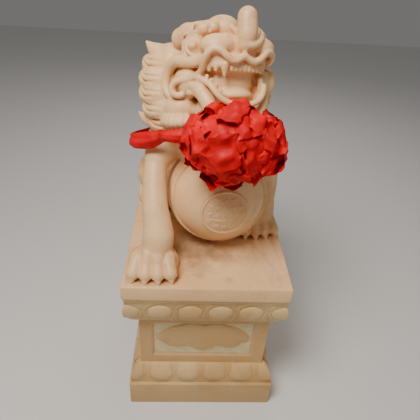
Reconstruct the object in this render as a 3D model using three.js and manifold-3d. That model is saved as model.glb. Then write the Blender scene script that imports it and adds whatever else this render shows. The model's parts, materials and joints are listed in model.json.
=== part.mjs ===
// A seated pixiu carved from one block of warm marble together with its slab,
// on a separate lotus pedestal, wearing a red silk rosette on a silk sash.
// Millimetres, +Z up, front towards -Y, origin at the centre of the pedestal's foot.
import * as THREE from 'three';
import { mergeVertices } from 'three/addons/utils/BufferGeometryUtils.js';
import Module from 'manifold-3d';

const wasm = await Module();
wasm.setup();

// Slab and pedestal
const slabWidth = 560;
const slabDepth = 840;
const slabThickness = 58;
const corniceHeight = 127;
const corniceInset = 5;
const waistHeight = 248;
const waistInset = 46;
const skirtHeight = 80;
const plinthHeight = 122;
const plinthInset = 2;
const jointGap = 0.3;

// Waist panels
const panelMargin = 46;
const panelDepth = 9;
const cartoucheRelief = 6;
const cartoucheMargin = 22;
const cartoucheHalf = [
  [0, 77], [38, 90], [84, 75], [140, 47], [166, 7], [140, -5], [120, -36], [48, -34], [0, -55],
];

// Lotus petals
const petalsAcross = 4;
const petalsAlong = 7;
const petalShare = 0.78;
const bossBulge = 13;
const cornerSet = 7;

// The animal's points are drawn for this height above the slab and scaled from it
const drawnHeight = 800;
const figureHeight = 800;
const figureScale = figureHeight / drawnHeight;

// Treasure ball and its coin
const ballRadius = 179;
const ballCentre = new THREE.Vector3(31, -98, 182);
const ballFacing = new THREE.Vector3(0.03, -0.965, 0.2).normalize();
const grooveAngle = 63;
const grooveWidth = 5;
const coinFacing = new THREE.Vector3(0.11, -0.99, 0.06).normalize();
const coinRadius = 81;
const coinRelief = 8;
const coinRim = 8;
const coinHollow = 4;

// Head pose and size
const headCentre = new THREE.Vector3(0, -60, 629);
const headYaw = 21;
const headPitch = 19;
const headRoll = 5.5;
const headScale = 1.07;
const farHalf = 1.08;

// Silk
const rosetteCentre = new THREE.Vector3(56, -318, 462);
const rosetteRadii = new THREE.Vector3(138, 76, 128);
const rosetteFolds = 16;
const sashWidth = 54;
const sashThickness = 5;
const sashSteps = 40;
const silkGap = 12;
const knotGap = 12;

// Carving grids, and the triangles kept on each
const bodyCell = 10;
const bodyHeight = 620;
const bodyTriangles = 1300;
const headCell = 7;
const headHalf = 262;
const headTriangles = 3200;
const pawCell = 7;
const pawTriangles = 500;
const silkCell = 9;
const rosetteTriangles = 700;

const rad = THREE.MathUtils.degToRad;
const vec = (x, y, z) => new THREE.Vector3(x, y, z);

// Joining and cutting

function solidFrom(geometry, matrix = new THREE.Matrix4()) {
  const bare = geometry.clone().applyMatrix4(matrix);
  bare.deleteAttribute('normal');
  bare.deleteAttribute('uv');
  const merged = mergeVertices(bare, 1e-3);
  const vertProperties = Float32Array.from(merged.attributes.position.array);
  const triVerts = Uint32Array.from(merged.index.array);
  return new wasm.Manifold(new wasm.Mesh({ numProp: 3, vertProperties, triVerts }));
}

function joined(solids) {
  return solids.reduce((sum, solid) => sum.add(solid));
}

function largest(solid) {
  return solid.decompose().reduce((best, piece) => (piece.volume() > best.volume() ? piece : best));
}

function toSize(solid) {
  return solid.scale([figureScale, figureScale, figureScale]);
}

function box(width, depth, low, high) {
  const geometry = new THREE.BoxGeometry(width, depth, high - low);
  return solidFrom(geometry, new THREE.Matrix4().makeTranslation(0, 0, (low + high) / 2));
}

function namedMesh(name, solid, material, height = 0) {
  const { vertProperties, triVerts } = solid.getMesh();
  const geometry = new THREE.BufferGeometry();
  geometry.setAttribute('position', new THREE.BufferAttribute(Float32Array.from(vertProperties), 3));
  geometry.setIndex(Array.from(triVerts));
  geometry.computeVertexNormals();
  const mesh = new THREE.Mesh(geometry, material);
  mesh.name = name;
  mesh.position.z = height;
  return mesh;
}

// Carving: a mass is a distance field, below zero inside the stone, with the sphere that holds
// it and the width over which it flows into the masses joined before it.

function ellipsoid(centre, radii, blend = 12, axes = [vec(1, 0, 0), vec(0, 1, 0), vec(0, 0, 1)]) {
  const [u, v, w] = axes;
  const [a, b, c] = radii;
  const distance = (x, y, z) => {
    const dx = x - centre.x;
    const dy = y - centre.y;
    const dz = z - centre.z;
    const p = (dx * u.x + dy * u.y + dz * u.z) / a;
    const q = (dx * v.x + dy * v.y + dz * v.z) / b;
    const r = (dx * w.x + dy * w.y + dz * w.z) / c;
    const share = Math.sqrt(p * p + q * q + r * r);
    const slope = Math.sqrt((p / a) ** 2 + (q / b) ** 2 + (r / c) ** 2);
    return slope > 0 ? (share * (share - 1)) / slope : -Math.min(a, b, c);
  };
  return { distance, centre, reach: Math.max(a, b, c), blend };
}

// A round-ended limb along a smooth line through points, with a radius at each of them.
// flat squeezes its section across the way that wide gives.
function limb(points, radii, { blend = 10, flat = 1, wide = vec(0, 0, 1), steps = 3 } = {}) {
  const curve = new THREE.CatmullRomCurve3(points, false, 'centripetal');
  const count = (points.length - 1) * steps;
  const spine = curve.getPoints(count);
  const radiusAt = (i) => {
    const span = Math.min(Math.floor(i / steps), points.length - 2);
    return THREE.MathUtils.lerp(radii[span], radii[span + 1], i / steps - span);
  };
  const parts = spine.slice(1).map((end, i) => {
    const start = spine[i];
    const run = end.clone().sub(start);
    const across = run.clone().cross(wide).normalize();
    return { start, run, across, length2: run.lengthSq(), from: radiusAt(i), to: radiusAt(i + 1) };
  });
  const squeeze = 1 / flat ** 2 - 1;
  const distance = (x, y, z) => {
    let best = Infinity;
    for (const { start, run, across, length2, from, to } of parts) {
      const px = x - start.x;
      const py = y - start.y;
      const pz = z - start.z;
      const t = Math.min(1, Math.max(0, (px * run.x + py * run.y + pz * run.z) / length2));
      const ox = px - t * run.x;
      const oy = py - t * run.y;
      const oz = pz - t * run.z;
      const side = ox * across.x + oy * across.y + oz * across.z;
      const away = Math.sqrt(ox * ox + oy * oy + oz * oz + squeeze * side * side);
      best = Math.min(best, (away - (from + t * (to - from))) * (0.4 + 0.6 * flat));
    }
    return best;
  };
  const centre = new THREE.Box3().setFromPoints(spine).getCenter(vec(0, 0, 0));
  const reach = Math.max(...spine.map((p) => p.distanceTo(centre))) + Math.max(...radii);
  return { distance, centre, reach, blend };
}

const depthOf = (masses) => (x, y, z) => {
  let depth = Infinity;
  for (const { distance, centre, reach, blend } of masses) {
    const gap = Math.sqrt((x - centre.x) ** 2 + (y - centre.y) ** 2 + (z - centre.z) ** 2) - reach;
    if (gap < depth + blend) {
      const own = distance(x, y, z);
      const overlap = Math.max(blend - Math.abs(own - depth), 0);
      depth = Math.min(own, depth) - (Number.isFinite(depth) ? (overlap * overlap) / (4 * blend) : 0);
    }
  }
  return depth;
};

// Corner patterns of a cell through which the surface would pass twice
function tangledPatterns() {
  const corners = [0, 1, 2, 3, 4, 5, 6, 7];
  const joinedSet = (set) => {
    const seen = new Set(set.slice(0, 1));
    for (const from of seen) {
      [1, 2, 4].map((bit) => from ^ bit).filter((to) => set.includes(to)).forEach((to) => seen.add(to));
    }
    return seen.size === set.length;
  };
  const crossed = (pattern) => corners.some((corner) => [[1, 2], [1, 4], [2, 4]].some(([p, q]) => {
    const [a, b, c, d] = [corner, corner ^ p, corner ^ q, corner ^ p ^ q].map((n) => (pattern >> n) & 1);
    return a === d && b === c && a !== b;
  }));
  return Array.from({ length: 256 }, (_, pattern) => crossed(pattern)
    || !joinedSet(corners.filter((n) => (pattern >> n) & 1))
    || !joinedSet(corners.filter((n) => !((pattern >> n) & 1))));
}

// The skin where a depth function is nought, with one point in each cell of a grid that the surface crosses
function skinOf(depth, low, high, cell) {
  const counts = high.clone().sub(low).divideScalar(cell).ceil().addScalar(1);
  const [nx, ny, nz] = counts.toArray();
  const strides = [1, nx, nx * ny];
  const values = new Float32Array(nx * ny * nz);
  for (let k = 0, n = 0; k < nz; k += 1) {
    for (let j = 0; j < ny; j += 1) {
      for (let i = 0; i < nx; i += 1, n += 1) {
        const rim = i === 0 || j === 0 || k === 0 || i === nx - 1 || j === ny - 1 || k === nz - 1;
        values[n] = rim ? cell : depth(low.x + i * cell, low.y + j * cell, low.z + k * cell) || 1e-3;
      }
    }
  }
  const corners = [0, 1, 2, 3, 4, 5, 6, 7]
    .map((n) => strides.reduce((sum, stride, axis) => sum + stride * ((n >> axis) & 1), 0));
  const patternAt = (n) => corners.reduce((bits, offset, c) => bits | ((values[n + offset] < 0 ? 1 : 0) << c), 0);
  const cells = [];
  for (let k = 0; k < nz - 1; k += 1) {
    for (let j = 0; j < ny - 1; j += 1) {
      for (let i = 0; i < nx - 1; i += 1) {
        cells.push(i + nx * (j + ny * k));
      }
    }
  }
  const tangled = tangledPatterns();
  let found = cells.filter((n) => tangled[patternAt(n)]);
  while (found.length > 0) {
    found.forEach((n) => corners.forEach((offset) => {
      values[n + offset] = Math.min(values[n + offset], -0.2 * cell);
    }));
    found = cells.filter((n) => tangled[patternAt(n)]);
  }
  const points = [];
  const pointOf = new Map();
  for (const n of cells) {
    const pattern = patternAt(n);
    if (pattern !== 0 && pattern !== 255) {
      const sum = vec(0, 0, 0);
      let crossings = 0;
      corners.forEach((offset, c) => strides.forEach((stride, axis) => {
        const [from, to] = [values[n + offset], values[n + offset + stride]];
        if (!((c >> axis) & 1) && from < 0 !== to < 0) {
          const at = [c & 1, (c >> 1) & 1, (c >> 2) & 1];
          at[axis] = from / (from - to);
          sum.add(vec(...at));
          crossings += 1;
        }
      }));
      const base = vec(n % nx, Math.floor(n / nx) % ny, Math.floor(n / (nx * ny)));
      pointOf.set(n, points.length);
      points.push(base.addScaledVector(sum, 1 / crossings).multiplyScalar(cell).add(low));
    }
  }
  const faces = [];
  for (const n of cells) {
    strides.forEach((stride, axis) => {
      const [from, to] = [values[n], values[n + stride]];
      if (from < 0 !== to < 0) {
        const [p, q] = [strides[(axis + 1) % 3], strides[(axis + 2) % 3]];
        const [a, b, c, d] = [n - p - q, n - q, n, n - p].map((m) => pointOf.get(m));
        faces.push(...(from < 0 ? [[a, b, c], [a, c, d]] : [[a, c, b], [a, d, c]]));
      }
    });
  }
  return { points, faces };
}

// Brings a skin down to a number of faces. The edges whose loss moves the surface least go
// first, and none whose loss would fold it over or pinch it.
function simplified({ points, faces }, kept) {
  const normal = (a, b, c) => b.clone().sub(a).cross(c.clone().sub(a));
  const strains = points.map(() => new Float64Array(10));
  for (const face of faces) {
    const across = normal(...face.map((v) => points[v]));
    const weight = across.length() || 1e-9;
    const plane = [...across.divideScalar(weight), -across.dot(points[face[0]])];
    let slot = 0;
    for (let i = 0; i < 4; i += 1) {
      for (let j = i; j < 4; j += 1, slot += 1) {
        face.forEach((v) => { strains[v][slot] += weight * plane[i] * plane[j]; });
      }
    }
  }
  const strainAt = ({ x, y, z }, q) => q[0] * x * x + q[4] * y * y + q[7] * z * z + q[9]
    + 2 * (q[1] * x * y + q[2] * x * z + q[3] * x + q[5] * y * z + q[6] * y + q[8] * z);
  const bestPlace = (a, b) => {
    const q = strains[a].map((value, i) => value + strains[b][i]);
    const middle = points[a].clone().lerp(points[b], 0.5);
    const solve = new THREE.Matrix3().set(q[0], q[1], q[2], q[1], q[4], q[5], q[2], q[5], q[7]);
    const scale = (q[0] + q[4] + q[7]) / 3;
    const places = [middle, points[a], points[b]];
    if (solve.determinant() > 1e-4 * scale ** 3) {
      const ideal = vec(-q[3], -q[6], -q[8]).applyMatrix3(solve.invert());
      if (ideal.distanceTo(middle) < points[a].distanceTo(points[b])) {
        places.push(ideal);
      }
    }
    const costs = places.map((place) => strainAt(place, q));
    const cost = Math.min(...costs);
    return { a, b, q, cost, place: places[costs.indexOf(cost)].clone() };
  };
  let left = faces.map((face) => [...face]);
  while (left.length > kept) {
    const around = points.map(() => []);
    left.forEach((face) => face.forEach((v) => around[v].push(face)));
    const edges = left.flatMap((face) => face
      .map((a, k) => [a, face[(k + 1) % 3]])
      .filter(([a, b]) => a < b)
      .map(([a, b]) => bestPlace(a, b)));
    edges.sort((p, q) => p.cost - q.cost);
    const busy = new Set();
    const gone = new Set();
    const goal = Math.min(left.length - kept, left.length * 0.3);
    for (const { a, b, q, place } of edges) {
      if (gone.size >= goal) {
        break;
      }
      const near = [...around[a], ...around[b]];
      if (near.some((face) => face.some((v) => busy.has(v)))) {
        continue;
      }
      const ringA = new Set(around[a].flat());
      const shared = [...new Set(around[b].flat())].filter((v) => v !== a && v !== b && ringA.has(v));
      const folds = near.filter((face) => !(face.includes(a) && face.includes(b))).some((face) => {
        const before = normal(...face.map((v) => points[v]));
        const after = normal(...face.map((v) => (v === a || v === b ? place : points[v])));
        return before.dot(after) <= 0.35 * before.length() * after.length();
      });
      if (shared.length === 2 && !folds) {
        near.forEach((face) => face.forEach((v) => busy.add(v)));
        around[a].filter((face) => face.includes(b)).forEach((face) => gone.add(face));
        around[b].forEach((face) => face.splice(face.indexOf(b), 1, a));
        points[a].copy(place);
        strains[a] = q;
      }
    }
    if (gone.size === 0) {
      break;
    }
    left = left.filter((face) => !gone.has(face));
  }
  const geometry = new THREE.BufferGeometry();
  geometry.setAttribute('position', new THREE.Float32BufferAttribute(points.flatMap((p) => [...p]), 3));
  geometry.setIndex(left.flat());
  return solidFrom(geometry);
}

// Head frame: side runs to the animal's left, ahead along its muzzle, up to its crown.
// The half of the head turned away from the front is cut a little wider.

function headFrame() {
  const [yaw, pitch, roll] = [headYaw, headPitch, headRoll].map(rad);
  const ahead = vec(Math.sin(yaw) * Math.cos(pitch), -Math.cos(yaw) * Math.cos(pitch), Math.sin(pitch));
  const levelSide = vec(Math.cos(yaw), Math.sin(yaw), 0);
  const levelUp = new THREE.Vector3().crossVectors(ahead, levelSide);
  const side = levelSide.clone().multiplyScalar(Math.cos(roll)).addScaledVector(levelUp, -Math.sin(roll));
  const up = levelSide.clone().multiplyScalar(Math.sin(roll)).addScaledVector(levelUp, Math.cos(roll));
  return [side, ahead, up];
}

const headAxes = headFrame();

function onHead(place) {
  return place.reduce((sum, share, i) => sum.addScaledVector(headAxes[i], share * headScale), headCentre.clone());
}

function headMass(centre, radii, blend) {
  return ellipsoid(onHead(centre), radii.map((r) => r * headScale), blend, headAxes);
}

function headLimb(points, radii, options = {}) {
  const wide = onHead(options.wide ?? [0, 0, 1]).sub(headCentre).normalize();
  return limb(points.map(onHead), radii.map((r) => r * headScale), { ...options, wide });
}

function mirrored(side, points) {
  return points.map(([s, a, u]) => [side < 0 ? -s : s * farHalf, a, u]);
}

// Face

function skull() {
  return [
    headMass([0, -14, 0], [112, 114, 104]),
    headMass([0, 112, 10], [86, 62, 38], 16),
    headMass([0, 92, -22], [98, 84, 38], 12),
    headMass([0, 62, -72], [86, 84, 54], 12),
    headMass([-6, 54, 66], [48, 54, 38], 10),
  ];
}

// Nostril lobe and the rolled upper lip that ends in a spiral at the corner of the mouth
function muzzle(side) {
  const lip = [[0, 184, -12], [24, 182, -25], [42, 180, -18], [60, 175, -2], [76, 166, 2], [88, 155, -9],
    [93, 142, -26], [91, 126, -44], [96, 107, -57], [109, 88, -65], [123, 70, -68], [139, 54, -73], [147, 46, -88],
    [143, 48, -103], [127, 56, -108], [114, 60, -98], [118, 58, -85]];
  return [
    headMass(...mirrored(side, [[54, 138, 11]]), [47, 42, 27], 5),
    headLimb(mirrored(side, lip), lip.map(() => 9), { blend: 3 }),
  ];
}

function noseHorn() {
  return [
    headLimb([[6, 176, 14], [9, 178, 40], [10, 173, 80]], [23, 27, 25], { blend: 4 }),
    headLimb([[-26, 146, 52], [-18, 170, 28], [1, 188, 8], [32, 177, 20], [58, 150, 42]], [7, 9, 9, 9, 7], { blend: 3 }),
  ];
}

function brow(side) {
  return [
    headLimb(mirrored(side, [[42, 116, 50], [76, 92, 50], [102, 58, 46], [110, 28, 42]]), [16, 20, 26, 28], { blend: 6 }),
    headMass(...mirrored(side, [[60, 42, 56]]), [34, 40, 28], 6),
    headMass(...mirrored(side, [[78, 95, 4]]), [19, 20, 16], 3),
    headLimb(mirrored(side, [[56, 118, 20], [80, 110, 21], [100, 84, 8]]), [6, 7, 6], { blend: 3 }),
    headLimb(mirrored(side, [[60, 120, -6], [84, 106, -10], [100, 84, -6]]), [6, 7, 6], { blend: 3 }),
  ];
}

// Cheekbone roll that wraps round the lip's spiral, and the full cheek under it
function cheek(side) {
  return [
    headMass(...mirrored(side, [[104, 10, -142]]), [52, 54, 46], 8),
    headMass(...mirrored(side, [[98, 34, -72]]), [36, 58, 46], 8),
    headLimb(
      mirrored(side, [[80, 114, -20], [98, 90, -24], [118, 62, -20], [134, 34, -20], [143, 8, -40], [149, -2, -70],
        [147, 4, -98], [133, 24, -113], [112, 44, -114], [94, 66, -106]]),
      [13, 15, 17, 16, 14, 12, 12, 11, 9, 7],
      { blend: 4 },
    ),
  ];
}

// Gum arch with square teeth and one fang on each side
function teeth() {
  const onArch = (s) => 172 - 40 * Math.abs(s / 80) ** 4;
  const gum = [-80, -62, -34, 0, 34, 62, 80].map((s) => [s, onArch(s) - 16, -18]);
  const row = [-77, -65, -47, -27, -8, 10, 29, 48, 65].map((s) => {
    const fang = Math.abs(s) > 40 && Math.abs(s) < 50;
    const line = [[s, onArch(s), -24], [s, onArch(s) - 1, fang ? -60 : -36]];
    return headLimb(line, fang ? [11, 4] : [9.5, 8.5], { blend: 2 });
  });
  return [headLimb(gum, gum.map(() => 17), { blend: 6 }), ...row];
}

function lowerJaw() {
  const rim = [[90, 134, -71], [82, 158, -82], [72, 171, -99], [56, 178, -117], [30, 180, -128]];
  const band = [[112, 84, -102], [103, 112, -104], [94, 137, -122], [84, 150, -147], [74, 154, -178]];
  const arch = [...mirrored(-1, rim), [0, 180, -131], ...mirrored(1, rim).reverse()];
  return [
    headMass([0, 82, -148], [92, 90, 54], 12),
    headMass([0, 98, -106], [60, 72, 24], 8),
    headLimb(arch, arch.map(() => 11), { blend: 5 }),
    headLimb([[0, 112, -178], [2, 124, -206], [6, 122, -230]], [38, 26, 8], { blend: 8 }),
    headLimb([[74, 146, -104], [71, 142, -62]], [12, 4], { blend: 4 }),
    ...[-1, 1].map((side) => headLimb(mirrored(side, band), [9, 9, 10, 10, 10], { blend: 4 })),
  ];
}

// Ears, mane and beard: tapered locks swept back from the face

function lock(points, radii, flat = 0.6, wide = [0, 0, 1]) {
  return headLimb(points, radii, { blend: 4, flat, wide });
}

function ear(side) {
  return [lock(mirrored(side, [[104, 2, 2], [130, -22, 4], [158, -44, 16], [184, -60, 40]]), [30, 25, 15, 4], 0.8)];
}

function mane(side) {
  const locks = 5;
  const row = Array.from({ length: locks }, (_, i) => {
    const up = -4 - 41 * i;
    const out = 186 - 5 * (i - 1.6) ** 2;
    const line = [[138, -14, up - 10], [out - 16, -42, up - 16], [out - 3, -70, up - 14], [out + 4, -96, up - 2]];
    return lock(mirrored(side, line), [24, 27, 24, 10], 0.7);
  });
  return [
    headMass(...mirrored(side, [[112, -62, -66]]), [76, 66, 108], 12),
    headMass(...mirrored(side, [[108, -36, -150]]), [58, 64, 56], 12),
    ...row,
    lock(mirrored(side, [[122, -36, -170], [152, -66, -176], [190, -98, -158]]), [30, 26, 5]),
  ];
}

function crown() {
  return [0, 1].flatMap((row) => [-1, 0, 1].map((side) => lock(
    [[side * 42, -10 - 60 * row, 62 - 14 * row], [side * 62, -56 - 50 * row, 70 - 44 * row],
      [side * 70, -92 - 40 * row, 42 - 70 * row], [side * 62, -110 - 26 * row, 8 - 80 * row]],
    [30, 34, 26, 6],
    0.8,
    [1, 0, 0],
  )));
}

function beard(side) {
  const curls = 5;
  return Array.from({ length: curls }, (_, i) => {
    const t = i / (curls - 1);
    const [s, a, u] = [140 - 76 * t, -12 + 78 * t, -160 - 10 * Math.sin(Math.PI * t)];
    return lock(mirrored(side, [[s, a, u], [s + 5, a + 5, u - 20], [s - 8, a, u - 34]]), [15, 12, 5], 0.8, [0, 1, 0]);
  });
}

function wholeHead() {
  const pairs = [mane, cheek, ear, beard, brow, muzzle].flatMap((feature) => [...feature(-1), ...feature(1)]);
  return [...skull(), ...crown(), ...lowerJaw(), ...pairs, ...teeth(), ...noseHorn()];
}

// Body

function torso() {
  return [
    limb(
      [vec(0, 225, 150), vec(0, 140, 215), vec(4, 40, 290), vec(4, -30, 370), vec(2, -30, 470), vec(10, -40, 570)],
      [132, 140, 140, 138, 122, 100],
    ),
    ellipsoid(vec(14, -92, 352), [132, 92, 112], 24),
  ];
}

// Four thick toes that rise from the pad over a knuckle and end in small claws
function paw(centre, spacing, turn, size) {
  const across = vec(Math.cos(turn), Math.sin(turn), 0);
  const back = vec(-Math.sin(turn), Math.cos(turn), 0);
  const toes = [-1.5, -0.5, 0.5, 1.5].flatMap((off) => {
    const tip = centre.clone().addScaledVector(across, off * spacing);
    tip.addScaledVector(back, Math.abs(off) > 1 ? 6 * size : 0);
    const line = back.clone().applyAxisAngle(vec(0, 0, 1), -off * 0.06);
    const at = (distance, height) => tip.clone().addScaledVector(line, distance * size).setZ(height * size);
    return [
      limb([at(108, 60), at(72, 54), at(42, 46), at(18, 24)], [22, 24, 28, 22].map((r) => r * size), { blend: 3 }),
      limb([at(12, 18), at(-8, 5)], [12 * size, 4 * size], { blend: 2 }),
    ];
  });
  const pad = centre.clone().addScaledVector(back, 100 * size).setZ(18 * size);
  return [ellipsoid(pad, [88, 72, 62].map((r) => r * size), 10, [across, back, vec(0, 0, 1)]), ...toes];
}

function legs() {
  const hind = (side) => [
    ellipsoid(vec(side * 150, 190, 128), [76, 128, 122], 12),
    limb([vec(side * 172, 190, 34), vec(side * 182, 110, 36)], [46, 40]),
    ...paw(vec(side * 182, 20, 0), 38, 0, 0.88),
  ];
  return [
    limb([vec(-132, -92, 348), vec(-156, -150, 300), vec(-164, -232, 205), vec(-166, -284, 120), vec(-176, -296, 60)],
      [78, 68, 57, 55, 62], { blend: 14 }),
    limb([vec(138, -40, 348), vec(190, -20, 290), vec(218, -10, 200), vec(216, -40, 120), vec(208, -62, 60)],
      [78, 62, 46, 42, 52], { blend: 14 }),
    ...hind(-1),
    ...hind(1),
  ];
}

// The forepaws: the near one at the slab's front edge, the other drawn back beside the ball
const forepaws = [
  { centre: vec(-182, -402, 0), spacing: 43, turn: 0, size: 1 },
  { centre: vec(205, -146, 0), spacing: 39, turn: 0.16, size: 0.9 },
];

function bodyLock(points, radii, wide = vec(0, 0, 1)) {
  return limb(points, radii, { blend: 5, flat: 0.65, wide });
}

// Flame locks behind the elbows and down the back, and the tail curled up against it
function bodyLocks() {
  const elbows = [-1, 1].flatMap((side) => [0, 1].map((i) => {
    const line = [[160, -74, 162], [202, -40, 149], [214, 12, 171], [206, 52, 209]];
    return bodyLock(line.map(([x, y, z]) => vec(side * x, y + 20 * i, z + 86 * i)), [40, 40, 28, 8]);
  }));
  const back = [-1, 1].flatMap((side) => [0, 1, 2, 3].map((i) => {
    const line = [[46, 30, 470], [72, 80, 454], [90, 108, 408]];
    return bodyLock(line.map(([x, y, z]) => vec(side * x, y + 46 * i, z - 60 * i)), [44, 40, 9], vec(1, 0, 0));
  }));
  const tail = [-1, 0, 1].map((side) => limb(
    [vec(side * 14, 300, 60), vec(side * 44, 350, 150), vec(side * 62, 346, 250), vec(side * 40, 300, 318),
      vec(side * 66, 300, 372)],
    [40, 46, 42, 30, 9],
    { blend: 4, flat: 0.7, wide: vec(1, 0, 0) },
  ));
  return [...elbows, ...back, ...tail];
}

// Ball with a groove round its face and a rimmed coin that follows its curve

function treasureBall() {
  const placed = (axis, distance) => new THREE.Matrix4().compose(
    ballCentre.clone().addScaledVector(axis, distance),
    new THREE.Quaternion().setFromUnitVectors(vec(0, 0, 1), axis),
    vec(1, 1, 1),
  );
  const sphere = (radius) => solidFrom(new THREE.SphereGeometry(radius, 18, 12), placed(ballFacing, 0));
  const reach = ballRadius * Math.cos(rad(grooveAngle));
  const ring = new THREE.TorusGeometry(ballRadius * Math.sin(rad(grooveAngle)), grooveWidth, 4, 18);
  const ball = sphere(ballRadius).subtract(solidFrom(ring, placed(ballFacing, reach)));
  const disc = (radius) => solidFrom(
    new THREE.CylinderGeometry(radius, radius, ballRadius, 18).rotateX(Math.PI / 2),
    placed(coinFacing, ballRadius),
  );
  const well = disc(coinRadius - coinRim).subtract(sphere(ballRadius + coinRelief - coinHollow));
  const coin = sphere(ballRadius + coinRelief).intersect(disc(coinRadius)).subtract(well);
  return joined([ball, coin]);
}

// The head is carved on a finer grid than the body, and the two meet inside the neck
const bodyDepth = depthOf([...torso(), ...legs(), ...bodyLocks()]);
const headDepth = depthOf(wholeHead());
const ballDepth = (x, y, z) => ballCentre.distanceTo(vec(x, y, z)) - ballRadius - coinRelief;
const stoneDepth = (x, y, z) => Math.min(bodyDepth(x, y, z), headDepth(x, y, z), ballDepth(x, y, z));

function carved(depth, centre, reach, cell, kept) {
  return simplified(skinOf(depth, centre.clone().sub(reach), centre.clone().add(reach), cell), kept);
}

function pixiu() {
  const bodyReach = vec(slabWidth / 2 - 2, slabDepth / 2 - 2, bodyHeight / 2);
  const headReach = vec(1, 1, 1).multiplyScalar(headHalf * headScale);
  const animal = joined([
    carved(bodyDepth, vec(0, 0, bodyHeight / 2 - 2 * bodyCell), bodyReach, bodyCell, bodyTriangles),
    carved(headDepth, headCentre, headReach, headCell, headTriangles),
    ...forepaws.map(({ centre, spacing, turn, size }) => carved(
      depthOf(paw(centre, spacing, turn, size)),
      centre.clone().add(vec(0, 70, 44)),
      vec(114, 108, 60),
      pawCell,
      pawTriangles,
    )),
    treasureBall(),
  ]);
  const room = box(slabWidth - 1, slabDepth - 1, -4, figureHeight * 2);
  return toSize(animal).intersect(room).add(box(slabWidth, slabDepth, -slabThickness, 0));
}

// Lotus pedestal

function profiledBlock(low, rows) {
  return joined(rows.slice(1).map(([topInset, top], i) => {
    const [bottomInset, bottom] = rows[i];
    const geometry = new THREE.BoxGeometry(1, 1, top - bottom);
    const position = geometry.attributes.position;
    for (let k = 0; k < position.count; k += 1) {
      const inset = position.getZ(k) > 0 ? topInset : bottomInset;
      position.setX(k, Math.sign(position.getX(k)) * (slabWidth / 2 - inset));
      position.setY(k, Math.sign(position.getY(k)) * (slabDepth / 2 - inset));
    }
    return solidFrom(geometry, new THREE.Matrix4().makeTranslation(0, 0, low + (top + bottom) / 2));
  }));
}

// The four faces of a block inset from the slab's outline
function facesOf(inset, countAcross, countAlong) {
  const width = slabWidth - 2 * inset;
  const depth = slabDepth - 2 * inset;
  return [0, 90, 180, 270].map((turn) => ({
    turn,
    run: turn % 180 ? depth : width,
    out: (turn % 180 ? width : depth) / 2,
    count: turn % 180 ? countAlong : countAcross,
  }));
}

// A row of petals, each an oval boss that leans with the moulding behind it. ends is the room
// left beside the outer two, counted in petals.
function petalRow(middle, halfHeight, inset, lean, ends) {
  const bosses = facesOf(inset, petalsAcross, petalsAlong).flatMap(({ turn, run, out, count }) => {
    const pitch = run / (count + ends);
    const boss = new THREE.SphereGeometry(1, 6, 4).scale((pitch * petalShare) / 2, bossBulge, halfHeight);
    const row = Array.from({ length: count }, (_, i) => solidFrom(boss, new THREE.Matrix4().makeRotationZ(rad(turn))
      .multiply(new THREE.Matrix4().makeTranslation((i - (count - 1) / 2) * pitch, -out, middle))
      .multiply(new THREE.Matrix4().makeRotationX(rad(lean)))));
    const corner = solidFrom(boss, new THREE.Matrix4().makeRotationZ(rad(turn))
      .multiply(new THREE.Matrix4().makeTranslation(run / 2 - cornerSet, cornerSet - out, middle))
      .multiply(new THREE.Matrix4().makeRotationZ(rad(45)))
      .multiply(new THREE.Matrix4().makeRotationX(rad(lean))));
    return [...row, corner];
  });
  return joined(bosses);
}

function cartouche({ turn, run, out }, middle) {
  const stretch = (run / 2 - panelMargin - cartoucheMargin) / cartoucheHalf[4][0];
  const right = cartoucheHalf.map(([x, z]) => new THREE.Vector2(x * stretch, z));
  const left = right.slice(1, -1).reverse().map(({ x, y }) => new THREE.Vector2(-x, y));
  const geometry = new THREE.ExtrudeGeometry(new THREE.Shape([...right, ...left]), { depth: 12, bevelEnabled: false });
  const place = new THREE.Matrix4().makeRotationZ(rad(turn))
    .multiply(new THREE.Matrix4().makeTranslation(0, -out + panelDepth - cartoucheRelief + 12, middle))
    .multiply(new THREE.Matrix4().makeRotationX(Math.PI / 2));
  return solidFrom(geometry, place);
}

function waist(low) {
  const middle = low + waistHeight / 2;
  let block = box(slabWidth - 2 * waistInset, slabDepth - 2 * waistInset, low, low + waistHeight);
  for (const face of facesOf(waistInset, 1, 1)) {
    const recess = new THREE.BoxGeometry(face.run - 2 * panelMargin, panelDepth * 2, waistHeight - 1.4 * panelMargin);
    const place = new THREE.Matrix4().makeRotationZ(rad(face.turn))
      .multiply(new THREE.Matrix4().makeTranslation(0, -face.out, middle));
    block = block.subtract(solidFrom(recess, place));
    block = block.add(cartouche(face, middle));
  }
  return block;
}

function pedestal() {
  const skirtTop = plinthHeight + skirtHeight;
  const waistTop = skirtTop + waistHeight;
  const top = waistTop + corniceHeight;
  return joined([
    box(slabWidth - 2 * plinthInset, slabDepth - 2 * plinthInset, 0, plinthHeight),
    profiledBlock(plinthHeight, [[14, 0], [20, skirtHeight * 0.4], [waistInset, skirtHeight]]),
    waist(skirtTop),
    profiledBlock(waistTop, [
      [waistInset, 0], [corniceInset + 24, corniceHeight * 0.12], [corniceInset + 11, corniceHeight * 0.34],
      [corniceInset + 8, corniceHeight * 0.88], [corniceInset, corniceHeight * 0.9], [corniceInset, corniceHeight],
    ]),
    petalRow(plinthHeight + skirtHeight * 0.62, skirtHeight * 0.44, 20, 20, 0.8),
    petalRow(waistTop + corniceHeight * 0.53, corniceHeight * 0.26, corniceInset + 10, 0, 1.1),
  ]).intersect(box(slabWidth, slabDepth, 0, top));
}

// Silk: the rosette is a ball of folds with its back pressed to the stone, and the sash is a
// band pushed out from the neck until it clears the stone, ending where it enters the rosette.

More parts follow.
